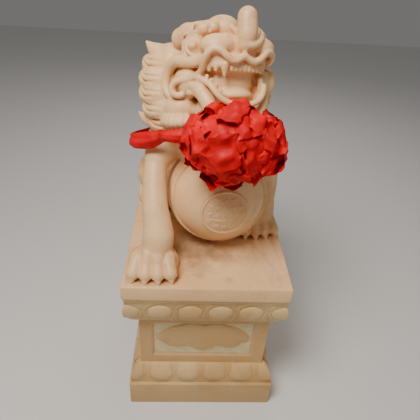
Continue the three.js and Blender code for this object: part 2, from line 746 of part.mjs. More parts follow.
function rosetteMasses() {
  const folds = Array.from({ length: rosetteFolds }, (_, i) => {
    const height = 1 - (2 * (i + 0.5)) / rosetteFolds;
    const angle = i * rad(137.5);
    const ring = Math.sqrt(1 - height * height);
    const out = vec(ring * Math.cos(angle), 0.1 - 0.9 * Math.abs(ring * Math.sin(angle)), height);
    const along = vec(Math.cos(i * 1.7), 0.3 * Math.sin(i * 2.3), Math.sin(i * 1.7)).normalize();
    const across = along.clone().cross(vec(0, 1, 0)).normalize();
    const centre = rosetteCentre.clone().add(out.multiply(rosetteRadii).multiplyScalar(0.8));
    return ellipsoid(centre, [52, 26, 40], 4, [along, across, along.clone().cross(across)]);
  });
  return [ellipsoid(rosetteCentre, rosetteRadii.toArray()), ...folds];
}

const knotDepth = depthOf(rosetteMasses());

function rosette() {
  const depth = (x, y, z) => Math.max(knotDepth(x, y, z), knotGap - stoneDepth(x, y, z));
  const reach = rosetteRadii.clone().addScalar(60);
  return toSize(largest(carved(depth, rosetteCentre, reach, silkCell, rosetteTriangles)));
}

function sash() {
  const loose = new THREE.CatmullRomCurve3([
    vec(40, -262, 444), vec(-60, -240, 450), vec(-132, -200, 434), vec(-200, -158, 402), vec(-256, -122, 380),
    vec(-250, -52, 356), vec(-206, 24, 338), vec(-130, 96, 380), vec(0, 126, 420), vec(100, 104, 420),
    vec(168, 20, 410), vec(180, -90, 422), vec(150, -200, 444),
  ]);
  const needed = silkGap + sashThickness;
  const laid = loose.getSpacedPoints(sashSteps).filter((p) => knotDepth(...p) > needed);
  for (const spot of laid) {
    const out = vec(spot.x, spot.y + 40, 0).normalize();
    const heights = [-0.5, -0.25, 0, 0.25, 0.5].map((share) => share * sashWidth);
    while (heights.some((height) => stoneDepth(spot.x, spot.y, spot.z + height) < needed)) {
      spot.addScaledVector(out, 2);
    }
  }
  const section = new THREE.Shape();
  section.moveTo(-sashWidth / 2, -sashThickness / 2);
  section.lineTo(sashWidth / 2, -sashThickness / 2);
  section.lineTo(sashWidth / 2, sashThickness / 2);
  section.lineTo(-sashWidth / 2, sashThickness / 2);
  const extrudePath = new THREE.CatmullRomCurve3(laid);
  return toSize(solidFrom(new THREE.ExtrudeGeometry(section, { extrudePath, steps: laid.length, bevelEnabled: false })));
}

const marble = new THREE.MeshStandardMaterial({ color: 0xdcb78f, roughness: 0.42, metalness: 0 });
const pedestalMarble = new THREE.MeshStandardMaterial({ color: 0xd2a87c, roughness: 0.5, metalness: 0 });
const rosetteSilk = new THREE.MeshStandardMaterial({ color: 0xd8101c, roughness: 0.55, metalness: 0 });
const sashSilk = new THREE.MeshStandardMaterial({ color: 0xc90f1a, roughness: 0.55, metalness: 0 });

const slabTop = plinthHeight + skirtHeight + waistHeight + corniceHeight + jointGap + slabThickness;

const model = new THREE.Group();
model.add(
  namedMesh('lotus_pedestal', pedestal(), pedestalMarble),
  namedMesh('pixiu_figure', pixiu(), marble, slabTop),
  namedMesh('silk_rosette', rosette(), rosetteSilk, slabTop),
  namedMesh('silk_sash', sash(), sashSilk, slabTop),
);

export default model;
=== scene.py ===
# %% [markdown]
# # A marble pixiu with a red silk rosette
# The statue is one block of warm pink-cream marble: a seated pixiu, the ball under its forepaws and
# the slab it sits on. A second block, carved with lotus petals, is its pedestal. A silk rosette
# hangs on its chest from a sash tied round the neck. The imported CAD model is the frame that
# everything here fits into, so it is loaded first and its box is kept.

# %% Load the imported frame
import json
import math

import bpy
import numpy as np
from mathutils import Matrix, Vector

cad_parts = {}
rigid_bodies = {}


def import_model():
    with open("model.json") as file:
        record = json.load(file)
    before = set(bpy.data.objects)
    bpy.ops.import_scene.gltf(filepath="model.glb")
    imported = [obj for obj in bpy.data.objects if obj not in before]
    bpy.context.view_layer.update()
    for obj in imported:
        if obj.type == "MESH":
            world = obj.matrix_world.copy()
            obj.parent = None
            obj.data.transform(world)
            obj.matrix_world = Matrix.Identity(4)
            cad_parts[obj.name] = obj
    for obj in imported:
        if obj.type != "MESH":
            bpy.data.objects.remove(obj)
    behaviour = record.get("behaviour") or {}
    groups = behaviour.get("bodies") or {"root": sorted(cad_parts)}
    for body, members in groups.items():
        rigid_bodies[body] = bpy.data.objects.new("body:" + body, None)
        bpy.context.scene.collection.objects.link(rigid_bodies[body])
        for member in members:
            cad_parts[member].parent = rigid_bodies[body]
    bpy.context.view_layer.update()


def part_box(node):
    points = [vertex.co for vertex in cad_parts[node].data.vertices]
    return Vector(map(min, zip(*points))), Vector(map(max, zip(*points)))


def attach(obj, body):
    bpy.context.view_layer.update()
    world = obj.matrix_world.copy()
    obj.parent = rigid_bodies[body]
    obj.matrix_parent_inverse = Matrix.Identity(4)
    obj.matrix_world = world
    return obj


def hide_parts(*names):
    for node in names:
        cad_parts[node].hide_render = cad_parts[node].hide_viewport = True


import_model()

# %% [markdown]
# The picture was taken by someone who stood in front, a little to the left, held the camera at
# head height and tilted it slightly. The camera's place and its three angles are named, and its
# rotation is built from the directions that they give, because roll is hard to read off Euler angles.

# %% Camera
CAMERA_PLACE = Vector((-0.072, -1.3668, 1.5723))
CAMERA_YAW = math.radians(3.74)
CAMERA_PITCH = math.radians(33.61)
CAMERA_ROLL = math.radians(3.79)
FOCAL_PIXELS = 409
PICTURE_PIXELS = 420
SENSOR = 36


def camera_turn(yaw, pitch, roll):
    ahead = Vector((math.sin(yaw) * math.cos(pitch), math.cos(yaw) * math.cos(pitch), -math.sin(pitch)))
    level = Vector((math.cos(yaw), -math.sin(yaw), 0))
    upright = level.cross(ahead)
    right = level * math.cos(roll) + upright * math.sin(roll)
    up = upright * math.cos(roll) - level * math.sin(roll)
    return Matrix((right, up, -ahead)).transposed()


camera_data = bpy.data.cameras.new("camera")
camera_data.sensor_width = SENSOR
camera_data.lens = SENSOR * FOCAL_PIXELS / PICTURE_PIXELS
camera = bpy.data.objects.new("camera", camera_data)
camera_angles = camera_turn(CAMERA_YAW, CAMERA_PITCH, CAMERA_ROLL)
camera.matrix_world = Matrix.Translation(CAMERA_PLACE) @ camera_angles.to_4x4()
bpy.context.scene.collection.objects.link(camera)
bpy.context.scene.camera = camera
print("camera lens", round(camera_data.lens, 2))

# %% [markdown]
# Two things are made again and again below, so each has a short helper: a mesh from points and
# faces, and a node whose inputs are each given a plain value or the socket that feeds it.

# %% Helpers for meshes and nodes
MM = 0.001


def mesh_object(name, points, faces):
    mesh = bpy.data.meshes.new(name)
    mesh.from_pydata([tuple(p) for p in points], [], [tuple(f) for f in faces])
    mesh.update()
    mesh.shade_smooth()
    made = bpy.data.objects.new(name, mesh)
    bpy.context.scene.collection.objects.link(made)
    return made


def wire(tree, node, inputs):
    """Gives each input of a node a plain value, or the socket that feeds it."""
    for key, value in inputs.items():
        if isinstance(value, bpy.types.NodeSocket):
            tree.links.new(value, node.inputs[key])
        else:
            node.inputs[key].default_value = value


def add_node(tree, kind, inputs=None, **settings):
    node = tree.nodes.new(kind)
    for key, value in settings.items():
        setattr(node, key, value)
    wire(tree, node, inputs or {})
    return node


def calc(tree, operation, first, second=0.0):
    """The result of one sum of two numbers, each a socket or plain."""
    return add_node(tree, "ShaderNodeMath", {0: first, 1: second}, operation=operation).outputs[0]


def new_group(name, kind, inputs, outputs):
    """A node group, the identifiers of its named inputs, and their sockets inside it."""
    tree = bpy.data.node_groups.new(name, kind)

    def add_socket(label, socket, way):
        return tree.interface.new_socket(label, in_out=way, socket_type="NodeSocket" + socket).identifier

    ids = {label: add_socket(label, socket, "INPUT") for label, socket in inputs.items()}
    for label, socket in outputs.items():
        add_socket(label, socket, "OUTPUT")
    return tree, ids, tree.nodes.new("NodeGroupInput").outputs


def new_material(name):
    """A material, its tree and its shader."""
    material = bpy.data.materials.new(name)
    material.use_nodes = True
    return material, material.node_tree, material.node_tree.nodes["Principled BSDF"]


print("helpers ready")

# %% [markdown]
# The light is a plain studio: one large soft panel in front and above, a weak one from the right,
# one from behind and a pale world that keeps the shadows open. The floor is a plain pale sheet.

# %% Light and floor
LIGHTS = {
    "key_panel": ((-0.75, -1.25, 3.0), 1.1, 75),
    "side_panel": ((2.4, -1.6, 1.9), 1.6, 8),
    "back_panel": ((0.4, 2.6, 3.0), 1.8, 24),
}
LIGHT_TARGET = Vector((0, 0, 0.85))
LIGHT_WARM = (1.0, 0.95, 0.89)
WORLD_PALE = (1.0, 0.98, 0.96, 1)
WORLD_STRENGTH = 0.17
FLOOR_HALF = 7.0
FLOOR_PALE = (0.78, 0.77, 0.75, 1)


def add_panel(name, place, size, power):
    data = bpy.data.lights.new(name, "AREA")
    data.shape = "DISK"
    data.size = size
    data.energy = power
    data.color = LIGHT_WARM
    panel = bpy.data.objects.new(name, data)
    panel.location = place
    panel.rotation_mode = "QUATERNION"
    panel.rotation_quaternion = (LIGHT_TARGET - Vector(place)).to_track_quat("-Z", "Y")
    bpy.context.scene.collection.objects.link(panel)


for name, (place, size, power) in LIGHTS.items():
    add_panel(name, place, size, power)
world = bpy.data.worlds.new("pale_room")
world.use_nodes = True
background = world.node_tree.nodes["Background"]
wire(world.node_tree, background, {"Color": WORLD_PALE, "Strength": WORLD_STRENGTH})
bpy.context.scene.world = world
floor_corners = [(x * FLOOR_HALF, y * FLOOR_HALF, 0) for x, y in ((-1, -1), (1, -1), (1, 1), (-1, 1))]
floor = mesh_object("floor", floor_corners, [(0, 1, 2, 3)])
floor_material, floor_tree, floor_shader = new_material("pale_floor")
wire(floor_tree, floor_shader, {"Base Color": FLOOR_PALE, "Roughness": 0.85})
floor.data.materials.append(floor_material)
print("lights", len(LIGHTS), "and a floor")

# %% [markdown]
# ## Finishes
# The marble is a warm pink cream with soft clouds of deeper tan, a few thin veins and a fine grain.
# One node group makes the clouds, the veins and the grain from the object's own coordinates, so the
# blocks share a stone but each has its own two colours. Light sinks a little way into marble, so
# the shader has some subsurface.

# %% The marble group
def ranged(tree, source, low, high, start=0.0, end=1.0):
    """Goes from start to end, eased, while the source goes from low to high."""
    return add_node(tree, "ShaderNodeMapRange", {
        "Value": source, "From Min": low, "From Max": high, "To Min": start, "To Max": end},
        interpolation_type="SMOOTHSTEP").outputs["Result"]


def blended(tree, share, first, second):
    return add_node(tree, "ShaderNodeMix", {0: share, 6: first, 7: second}, data_type="RGBA").outputs[2]


def noise(tree, place, scale, detail, roughness=0.5, distortion=0.0):
    return add_node(tree, "ShaderNodeTexNoise", {
        "Vector": place, "Scale": scale, "Detail": detail, "Roughness": roughness,
        "Distortion": distortion}).outputs["Fac"]


def own_place(tree):
    """The object's own coordinates."""
    return add_node(tree, "ShaderNodeTexCoord").outputs["Object"]


def marble_group():
    tree, _, given = new_group("warm_marble", "ShaderNodeTree", {
        "Pale": "Color", "Deep": "Color", "Vein": "Color", "Cloud size": "Float", "Vein amount": "Float"},
        {"Color": "Color", "Roughness": "Float", "Height": "Float"})
    place = own_place(tree)
    clouds = noise(tree, place, given["Cloud size"], 5.0, 0.55, 0.5)
    ground = blended(tree, ranged(tree, clouds, 0.36, 0.68), given["Pale"], given["Deep"])
    veins = noise(tree, place, 2.6, 7.0, 0.6, 1.4)
    off_line = calc(tree, "ABSOLUTE", calc(tree, "SUBTRACT", veins, 0.5))
    line = ranged(tree, off_line, 0.0, 0.022, 1.0, 0.0)
    patchy = calc(tree, "MULTIPLY", line, ranged(tree, clouds, 0.4, 0.62))
    vein_share = calc(tree, "MULTIPLY", patchy, given["Vein amount"])
    grain = noise(tree, place, 210.0, 3.0)
    add_node(tree, "NodeGroupOutput", {
        "Color": blended(tree, vein_share, ground, given["Vein"]),
        "Roughness": ranged(tree, grain, 0.3, 0.7, 0.4, 0.56), "Height": grain})
    return tree


marble = marble_group()
print("marble group", len(marble.nodes), "nodes")

# %% [markdown]
# Weather and iron in the stone have left marks: some yellow-green spots and a brown one near the
# toes and a rusty one at the slab's right edge. The brown patch where the ball meets the slab is a
# painted shadow, laid on the same way. Each mark is a named place with a reach, and a noise frays
# its edge. Two numbers stored on a mesh's points tint it too: recesses get a warm painted shade, in
# place of the shade and bounced light that gather there, and the rough ground of the panels is
# paler. The plinth is darker towards its foot.

# %% Marks, painted shade and the stone materials
PALE_CREAM = (0.92, 0.61, 0.31, 1)
DEEP_PINK = (0.86, 0.51, 0.24, 1)
VEIN_BROWN = (0.52, 0.31, 0.17, 1)
RECESS_PAINTED_SHADE = (0.62, 0.30, 0.12, 1)
GROUND_PALE = (0.84, 0.70, 0.40, 1)
TAN_PALE = (0.76, 0.53, 0.255, 1)
TAN_DEEP = (0.64, 0.39, 0.15, 1)
FOOT_DARK_TAN = (0.42, 0.235, 0.075, 1)
CARTOUCHE_TAN = (0.68, 0.43, 0.19, 1)
BROWN_STAIN_AND_SHADOW = (0.36, 0.20, 0.10, 1)
MOSS_MARK = (0.40, 0.34, 0.12, 1)
IRON_MARK = (0.62, 0.28, 0.08, 1)
STONE_SUBSURFACE = 0.18
STONE_RADIUS = (1.0, 0.42, 0.22)
STONE_DEPTH = 0.018
# The first five brown marks are a painted shadow on the slab under the ball; the others are stains in the
# stone.
STAINS_AND_PAINTED_SHADOW = [
    ((-0.085, -0.18, 0.635), 0.15, BROWN_STAIN_AND_SHADOW, 0.85),
    ((-0.055, -0.235, 0.635), 0.13, BROWN_STAIN_AND_SHADOW, 0.85),
    ((0.01, -0.215, 0.635), 0.13, BROWN_STAIN_AND_SHADOW, 0.9),
    ((-0.02, -0.28, 0.635), 0.09, BROWN_STAIN_AND_SHADOW, 0.6),
    ((0.055, -0.265, 0.635), 0.08, BROWN_STAIN_AND_SHADOW, 0.55),
    ((-0.021, -0.353, 0.635), 0.035, MOSS_MARK, 0.6),
    ((0.071, -0.374, 0.635), 0.03, MOSS_MARK, 0.6),
    ((0.235, -0.08, 0.66), 0.10, IRON_MARK, 0.55),
    ((-0.215, -0.39, 0.64), 0.03, MOSS_MARK, 0.45),
    ((-0.14, -0.39, 0.64), 0.03, BROWN_STAIN_AND_SHADOW, 0.45),
]


def stain_and_shadow_share(tree, place, fray, middle, reach, strength):
    gap = add_node(tree, "ShaderNodeVectorMath", {0: place, 1: middle}, operation="DISTANCE")
    ragged = calc(tree, "ADD", gap.outputs["Value"], calc(tree, "MULTIPLY", fray, reach * 0.9))
    return ranged(tree, ragged, reach * 0.3, reach * 1.25, strength, 0.0)


def stored(tree, name):
    """The number with this name that is stored on the mesh's points."""
    return add_node(tree, "ShaderNodeAttribute", attribute_name=name).outputs["Fac"]


def stone_material(name, pale, deep, stains_and_shadows=(), matt=0.0, grounded=False, dark_foot=False):
    material, tree, shader = new_material(name)
    look = add_node(tree, "ShaderNodeGroup", {
        "Pale": pale, "Deep": deep, "Vein": VEIN_BROWN, "Cloud size": 3.4, "Vein amount": 0.4},
        node_tree=marble).outputs
    colour = look["Color"]
    if grounded:
        colour = blended(tree, stored(tree, "ground"), colour, GROUND_PALE)
    # Painted shade: recesses take a warm dark tone by how hollow they are.
    colour = blended(tree, ranged(tree, stored(tree, "hollow"), 0.15, 0.95, 0.0, 0.6), colour, RECESS_PAINTED_SHADE)
    place = own_place(tree)
    if dark_foot:
        # The plinth gets darker towards its foot.
        height = add_node(tree, "ShaderNodeSeparateXYZ", {"Vector": place}).outputs["Z"]
        colour = blended(tree, ranged(tree, height, 0.02, 0.2, 0.5, 0.0), colour, FOOT_DARK_TAN)
    fray = noise(tree, place, 26.0, 4.0)
    # Each mark is a stain, or part of the painted shadow under the ball.
    for middle, reach, tint, strength in stains_and_shadows:
        colour = blended(tree, stain_and_shadow_share(tree, place, fray, middle, reach, strength), colour, tint)
    bump = add_node(tree, "ShaderNodeBump", {
        "Strength": 0.25, "Distance": 0.0006, "Height": look["Height"]})
    wire(tree, shader, {
        "Base Color": colour, "Roughness": calc(tree, "ADD", look["Roughness"], matt),
        "Normal": bump.outputs["Normal"], "Subsurface Weight": STONE_SUBSURFACE,
        "Subsurface Radius": STONE_RADIUS, "Subsurface Scale": STONE_DEPTH})
    return material


figure_stone = stone_material("figure_stone", PALE_CREAM, DEEP_PINK, STAINS_AND_PAINTED_SHADOW)
ball_stone = stone_material("ball_stone", PALE_CREAM, DEEP_PINK)
panel_stone = stone_material("panel_stone", CARTOUCHE_TAN, TAN_DEEP, matt=0.14, grounded=True)
pedestal_stone = stone_material("pedestal_stone", TAN_PALE, TAN_DEEP, matt=0.08, dark_foot=True)
print("stone materials ready")

# %% [markdown]
# Satin silk is a smooth face over a close weave. Its colour drifts between two reds, it has a soft
# broad gloss and a faint sheen at grazing angles. A very fine crossed wave gives the threads, and
# a noise gives it small creases that are also a little rougher.

# %% Silk
SILK_BRIGHT = (0.80, 0.0, 0.008, 1)
SILK_DEEP = (0.55, 0.0, 0.005, 1)
SHEEN_TINT = (1.0, 0.05, 0.05, 1)
THREAD_SCALE = 420


def silk_material(name):
    material, tree, shader = new_material(name)
    place = own_place(tree)
    drift = ranged(tree, noise(tree, place, 14.0, 3.0), 0.35, 0.7)
    threads = [add_node(tree, "ShaderNodeTexWave", {"Vector": place, "Scale": THREAD_SCALE},
                        bands_direction=way).outputs["Fac"] for way in ("X", "Z")]
    creases = noise(tree, place, 60.0, 4.0, distortion=1.0)
    weave = add_node(tree, "ShaderNodeBump", {
        "Strength": 0.15, "Distance": 0.0003, "Height": calc(tree, "MULTIPLY", *threads)})
    crumple = add_node(tree, "ShaderNodeBump", {
        "Strength": 0.5, "Distance": 0.003, "Height": creases, "Normal": weave.outputs["Normal"]})
    wire(tree, shader, {
        "Base Color": blended(tree, drift, SILK_BRIGHT, SILK_DEEP),
        "Roughness": ranged(tree, creases, 0.3, 0.7, 0.42, 0.58), "Normal": crumple.outputs["Normal"],
        "Sheen Weight": 0.03, "Sheen Tint": SHEEN_TINT, "Specular IOR Level": 0.16,
        "Subsurface Weight": 0.1, "Subsurface Radius": (1.0, 0.1, 0.1), "Subsurface Scale": 0.006})
    return material


silk = silk_material("red_silk")
print("silk ready")

# %% [markdown]
# ## Carving tools
# Carved stone has no seams: a lock flows into a cheek and a leg into a slab. So the animal is built
# as a distance field on a grid, the way a carver works from one block. Round masses and tapering
# limbs are added, each melting into what is there over its own width, and grooves are cut. At the
# end the skin where the field is nought becomes one mesh. All of this is plain array arithmetic.

# %% A block of stone to carve
def unit(v):
    v = np.asarray(v, float)
    return v / np.linalg.norm(v)


def melted(own, depth, width):
    """The nearer of two distances, with the corner between them rounded over a width."""
    overlap = np.maximum(width - np.abs(own - depth), 0)
    return np.minimum(own, depth) - overlap * overlap / (4 * width)


def on_curve(a, b, c, d, t):
    """A place between b and c on the Catmull-Rom curve through four places."""
    return 0.5 * (2 * b + (c - a) * t + (2 * a - 5 * b + 4 * c - d) * t**2 + (3 * b - a - 3 * c + d) * t**3)


def smooth_line(points, radii, steps):
    """Points and radii along a curve through points."""
    p = np.asarray(points, float)
    r = np.asarray(radii, float)
    ends = np.vstack([2 * p[0] - p[1], p, 2 * p[-1] - p[-2]])
    spine, thickness = [p[0]], [r[0]]
    for i in range(len(p) - 1):
        for k in range(1, steps + 1):
            t = k / steps
            spine.append(on_curve(*ends[i:i + 4], t))
            thickness.append(r[i] + t * (r[i + 1] - r[i]))
    return np.array(spine), np.array(thickness)


class Block:
    """Distances to the surface on a grid, in millimetres, below nought inside the stone."""

    def __init__(self, low, high, cell):
        self.low = np.asarray(low, float)
        self.cell = cell
        counts = np.ceil((np.asarray(high) - self.low) / cell).astype(int) + 1
        self.depth = np.full(counts, 1000, np.float32)

    def window(self, low, high):
        """The grid's part between two corners, as slices and as its places on three axes."""
        first = np.maximum(np.floor((np.asarray(low) - self.low) / self.cell), 0).astype(int)
        last = np.ceil((np.asarray(high) - self.low) / self.cell) + 1
        last = np.minimum(last, self.depth.shape).astype(int)
        x, y, z = [self.low[i] + self.cell * np.arange(first[i], last[i]) for i in range(3)]
        return tuple(slice(a, b) for a, b in zip(first, last)), [x[:, None, None], y[:, None], z]

    def merge(self, where, own, width, cut):
        depth = self.depth[where]
        self.depth[where] = -melted(own, -depth, width) if cut else melted(own, depth, width)

    def lump(self, centre, radii, blend=12, axes=np.eye(3), cut=False):
        reach = max(radii) + blend + 2 * self.cell
        where, grid = self.window(np.subtract(centre, reach), np.add(centre, reach))
        offsets = [g - c for g, c in zip(grid, centre)]
        shares = [sum(o * a for o, a in zip(offsets, axis)) / r for axis, r in zip(axes, radii)]
        share = np.sqrt(sum(s * s for s in shares))
        slope = np.sqrt(sum((s / r) ** 2 for s, r in zip(shares, radii)))
        self.merge(where, share * (share - 1) / np.maximum(slope, 1e-6), blend, cut)

    def limb(self, points, radii, blend=10, flat=1.0, wide=(0, 0, 1), steps=4, cut=False):
        spine, thickness = smooth_line(points, radii, steps)
        reach = max(radii) + blend + 2 * self.cell
        where, _ = self.window(spine.min(0) - reach, spine.max(0) + reach)
        own = np.full(self.depth[where].shape, 1000, np.float32)
        base = np.array([s.start for s in where])
        for a, b, ra, rb in zip(spine[:-1], spine[1:], thickness[:-1], thickness[1:]):
            near, (x, y, z) = self.window(np.minimum(a, b) - reach, np.maximum(a, b) + reach)
            inner = tuple(slice(s.start - o, s.stop - o) for s, o in zip(near, base))
            run = b - a
            t = ((x - a[0]) * run[0] + (y - a[1]) * run[1] + (z - a[2]) * run[2]) / (run @ run)
            t = np.clip(t, 0, 1)
            ox, oy, oz = x - a[0] - t * run[0], y - a[1] - t * run[1], z - a[2] - t * run[2]
            away = ox * ox + oy * oy + oz * oz
            if flat < 1:
                across = unit(np.cross(run, wide))
                away = away + (1 / flat**2 - 1) * (ox * across[0] + oy * across[1] + oz * across[2]) ** 2
            part = (np.sqrt(away) - (ra + t * (rb - ra))) * (0.4 + 0.6 * flat)
            own[inner] = np.minimum(own[inner], part)
        self.merge(where, own, blend, cut)


print("block ready, with lumps and limbs")

# %% [markdown]
# The skin takes one point in each grid cell that the surface crosses, at the mean of the crossings
# on the cell's edges, and one four-sided face for each crossed edge. It is smoother than the
# usual cube tables, and every face points outwards because the sign of the field gives its turn.
# Reliefs are simpler meshes, made of sheets or rings of points, and their helpers are here too.

# %% From the field to a skin
def skin_of(block):
    shape = np.array(block.depth.shape)
    strides = np.array([shape[1] * shape[2], shape[2], 1])
    cells, places, quads = [], [], []
    for axis, order in enumerate(([0, 1, 2], [1, 0, 2], [1, 2, 0])):
        start = np.moveaxis(block.depth, axis, 0)[:-1]
        end = np.moveaxis(block.depth, axis, 0)[1:]
        crossed = np.argwhere((start < 0) != (end < 0))
        a, b = start[tuple(crossed.T)], end[tuple(crossed.T)]
        at = crossed[:, order]
        place = at.astype(float)
        place[:, axis] += a / (a - b)
        number = at @ strides
        p, q = strides[(axis + 1) % 3], strides[(axis + 2) % 3]
        ring = np.stack([number - p - q, number - q, number, number - p], 1)
        ring[a >= 0] = ring[a >= 0][:, ::-1]
        quads.append(ring)
        cells += list(ring.T)
        places += [place] * 4
    cells, places, quads = np.concatenate(cells), np.concatenate(places), np.concatenate(quads)
    names, which = np.unique(cells, return_inverse=True)
    count = np.bincount(which)
    points = np.stack([np.bincount(which, places[:, i]) / count for i in range(3)], 1)
    return points * block.cell + block.low, np.searchsorted(names, quads)


def plain_mesh(thing, name):
    """Turns an object with live modifiers into an object with a plain mesh."""
    evaluated = thing.evaluated_get(bpy.context.evaluated_depsgraph_get())
    mesh = bpy.data.meshes.new_from_object(evaluated)
    mesh.name = name
    bpy.data.objects.remove(thing)
    made = bpy.data.objects.new(name, mesh)
    bpy.context.scene.collection.objects.link(made)
    return made


def thinned(thing, faces):
    """Takes triangles from flat places until about this many are left."""
    fewer = thing.modifiers.new("fewer_faces", "DECIMATE")
    fewer.ratio = faces / sum(len(p.vertices) - 2 for p in thing.data.polygons)
    return plain_mesh(thing, thing.name)


def sheet_faces(rows, columns):
    """Faces of a sheet whose points are numbered row by row."""
    index = np.arange(rows * columns).reshape(rows, columns)
    return np.stack([index[:-1, :-1], index[:-1, 1:], index[1:, 1:], index[1:, :-1]], -1).reshape(-1, 4)


def ring_faces(rings, count):
    """Faces between closed rings of points that follow each other."""
    index = np.arange(rings * count).reshape(rings, count)
    after = np.roll(index, -1, 1)
    return np.stack([index[:-1], after[:-1], after[1:], index[1:]], -1).reshape(-1, 4)


def add_share(thing, name, values):
    """Stores one number on each point of a mesh for its material to read."""
    layer = thing.data.attributes.new(name, "FLOAT", "POINT")
    layer.data.foreach_set("value", np.asarray(values, np.float32).ravel())


def sheet_object(name, x, y, z, **shares):
    """A mesh through a grid of places in millimetres, with numbers stored on its points."""
    made = mesh_object(name, np.stack([x, y, z], -1).reshape(-1, 3) * MM, sheet_faces(*x.shape))
    for label, values in shares.items():
        add_share(made, label, values)
    return made


def eased(low, high, value):
    t = np.clip((value - low) / (high - low), 0, 1)
    return t * t * (3 - 2 * t)


print("carving tools ready")

# %% [markdown]
# ## The animal
# Its points are drawn in millimetres from the middle of the slab's top. Most of the head is drawn
# in the head's own directions, side, ahead and up, so that one change of pose moves all of it. The
# two halves are mirrored, with the half turned away cut a little wider, as carvers do.

# %% Sizes and the head's directions
figure_low, figure_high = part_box("pixiu_figure")
SLAB_THICKNESS = 58
SLAB_WIDTH = (figure_high.x - figure_low.x) / MM
SLAB_DEPTH = (figure_high.y - figure_low.y) / MM
SLAB_TOP = figure_low.z / MM + SLAB_THICKNESS
FIGURE_CELL = 3.2
FIGURE_FACES = 186000

HEAD_CENTRE = np.array([0, -60, 629.0])
HEAD_YAW, HEAD_PITCH, HEAD_ROLL = map(math.radians, (21, 19, 5.5))
HEAD_SCALE = 1.07
FAR_HALF = 1.08

BALL_RADIUS = 179
BALL_CENTRE = np.array([31, -98, 182.0])
BALL_FACING = unit([0.03, -0.965, 0.2])


def head_directions(yaw, pitch, roll):
    ahead = np.array([math.sin(yaw) * math.cos(pitch), -math.cos(yaw) * math.cos(pitch), math.sin(pitch)])
    side = np.array([math.cos(yaw), math.sin(yaw), 0])
    up = np.cross(ahead, side)
    return np.array([side * math.cos(roll) - up * math.sin(roll), ahead,
                     side * math.sin(roll) + up * math.cos(roll)])


HEAD_AXES = head_directions(HEAD_YAW, HEAD_PITCH, HEAD_ROLL)
MARGIN = 3 * FIGURE_CELL
stone = Block((-SLAB_WIDTH / 2 - MARGIN, -SLAB_DEPTH / 2 - MARGIN, -SLAB_THICKNESS - MARGIN),
              (SLAB_WIDTH / 2 + MARGIN, SLAB_DEPTH / 2 + MARGIN, 830), FIGURE_CELL)


def on_head(points):
    return HEAD_CENTRE + HEAD_SCALE * np.asarray(points, float) @ HEAD_AXES


def head_lump(centre, radii, blend=12, cut=False):
    stone.lump(on_head(centre), [r * HEAD_SCALE for r in radii], blend, HEAD_AXES, cut)


def head_limb(points, radii, blend=10, flat=1.0, wide=(0, 0, 1), cut=False):
    stone.limb(on_head(points), [r * HEAD_SCALE for r in np.broadcast_to(radii, len(points))], blend, flat,
               np.asarray(wide, float) @ HEAD_AXES, cut=cut)


def half(side, points):
    stretch = np.array([-1 if side < 0 else FAR_HALF, 1, 1])
    return np.asarray(points, float) * stretch


print("slab top", round(SLAB_TOP, 1), "grid", stone.depth.shape)

# %% [markdown]
# The body is a seated trunk with the haunches behind. Each leg is one limb, and each forepaw has
# four thick toes that rise over a knuckle and end in a small claw. The near forepaw stands at
# the slab's edge, and the other is drawn back beside the ball.

# %% Trunk, legs and paws
stone.limb([(0, 225, 150), (0, 140, 215), (4, 40, 290), (4, -30, 370), (2, -30, 470), (10, -40, 570)],
           [132, 140, 140, 138, 122, 100])
stone.lump((14, -92, 352), [132, 92, 112], 24)


def carve_paw(centre, spacing, turn, size):
    across = np.array([math.cos(turn), math.sin(turn), 0])
    back = np.array([-math.sin(turn), math.cos(turn), 0])
    centre = np.array([*centre, 0.0])
    pad = centre + back * 100 * size + [0, 0, 18 * size]
    stone.lump(pad, [86 * size, 68 * size, 54 * size], 16, [across, back, (0, 0, 1)])
    for off in (-1.5, -0.5, 0.5, 1.5):
        tip = centre + across * off * spacing + back * (6 * size if abs(off) > 1 else 0)
        line = unit(back - across * off * 0.17)
        top = 60 if abs(off) > 1 else 74
        toe = ((98, top, 14), (66, top * 0.84, 28), (43, 44, 23), (18, 26, 23))
        claw = ((14, 20, 12), (2, 11, 10), (-7, 3, 2))
        for shape, blend in ((toe, 5), (claw, 2)):
            places = [tip + line * d * size + [0, 0, h * size] for d, h, _ in shape]
            stone.limb(places, [radius * size for _, _, radius in shape], blend)


def carve_haunch(side):
    stone.lump((side * 150, 190, 128), [76, 128, 122], 12)
    stone.limb([(side * 172, 190, 34), (side * 182, 110, 36)], [46, 40])
    carve_paw((side * 182, 20), 38, 0, 0.88)


NEAR_LEG = [(-148, -70, 356), (-183, -146, 294), (-181, -228, 205), (-173, -258, 160),
            (-166, -284, 112), (-171, -304, 56)]
NEAR_ANKLE = [(-168, -290, 104), (-180, -324, 50)]
FAR_LEG = [(138, -40, 348), (190, -20, 290), (218, -10, 200), (216, -40, 120), (208, -62, 60)]
for side in (-1, 1):
    carve_haunch(side)
stone.limb(NEAR_LEG, [70, 38, 41, 45, 50, 50], 14)
stone.limb(NEAR_ANKLE, [42, 27], 22)
stone.limb(FAR_LEG, [78, 62, 46, 42, 52], 14)
carve_paw((-182, -402), 43, 0, 1)
carve_paw((205, -146), 39, 0.16, 0.9)
print("trunk and legs carved")

# %% [markdown]
# Behind each elbow and down the back lie flame locks: flattened limbs that taper to a point and
# curl away from the body. The tail is three of them, laid up the back. The photograph hides these,
# so they are the plain usual ones.

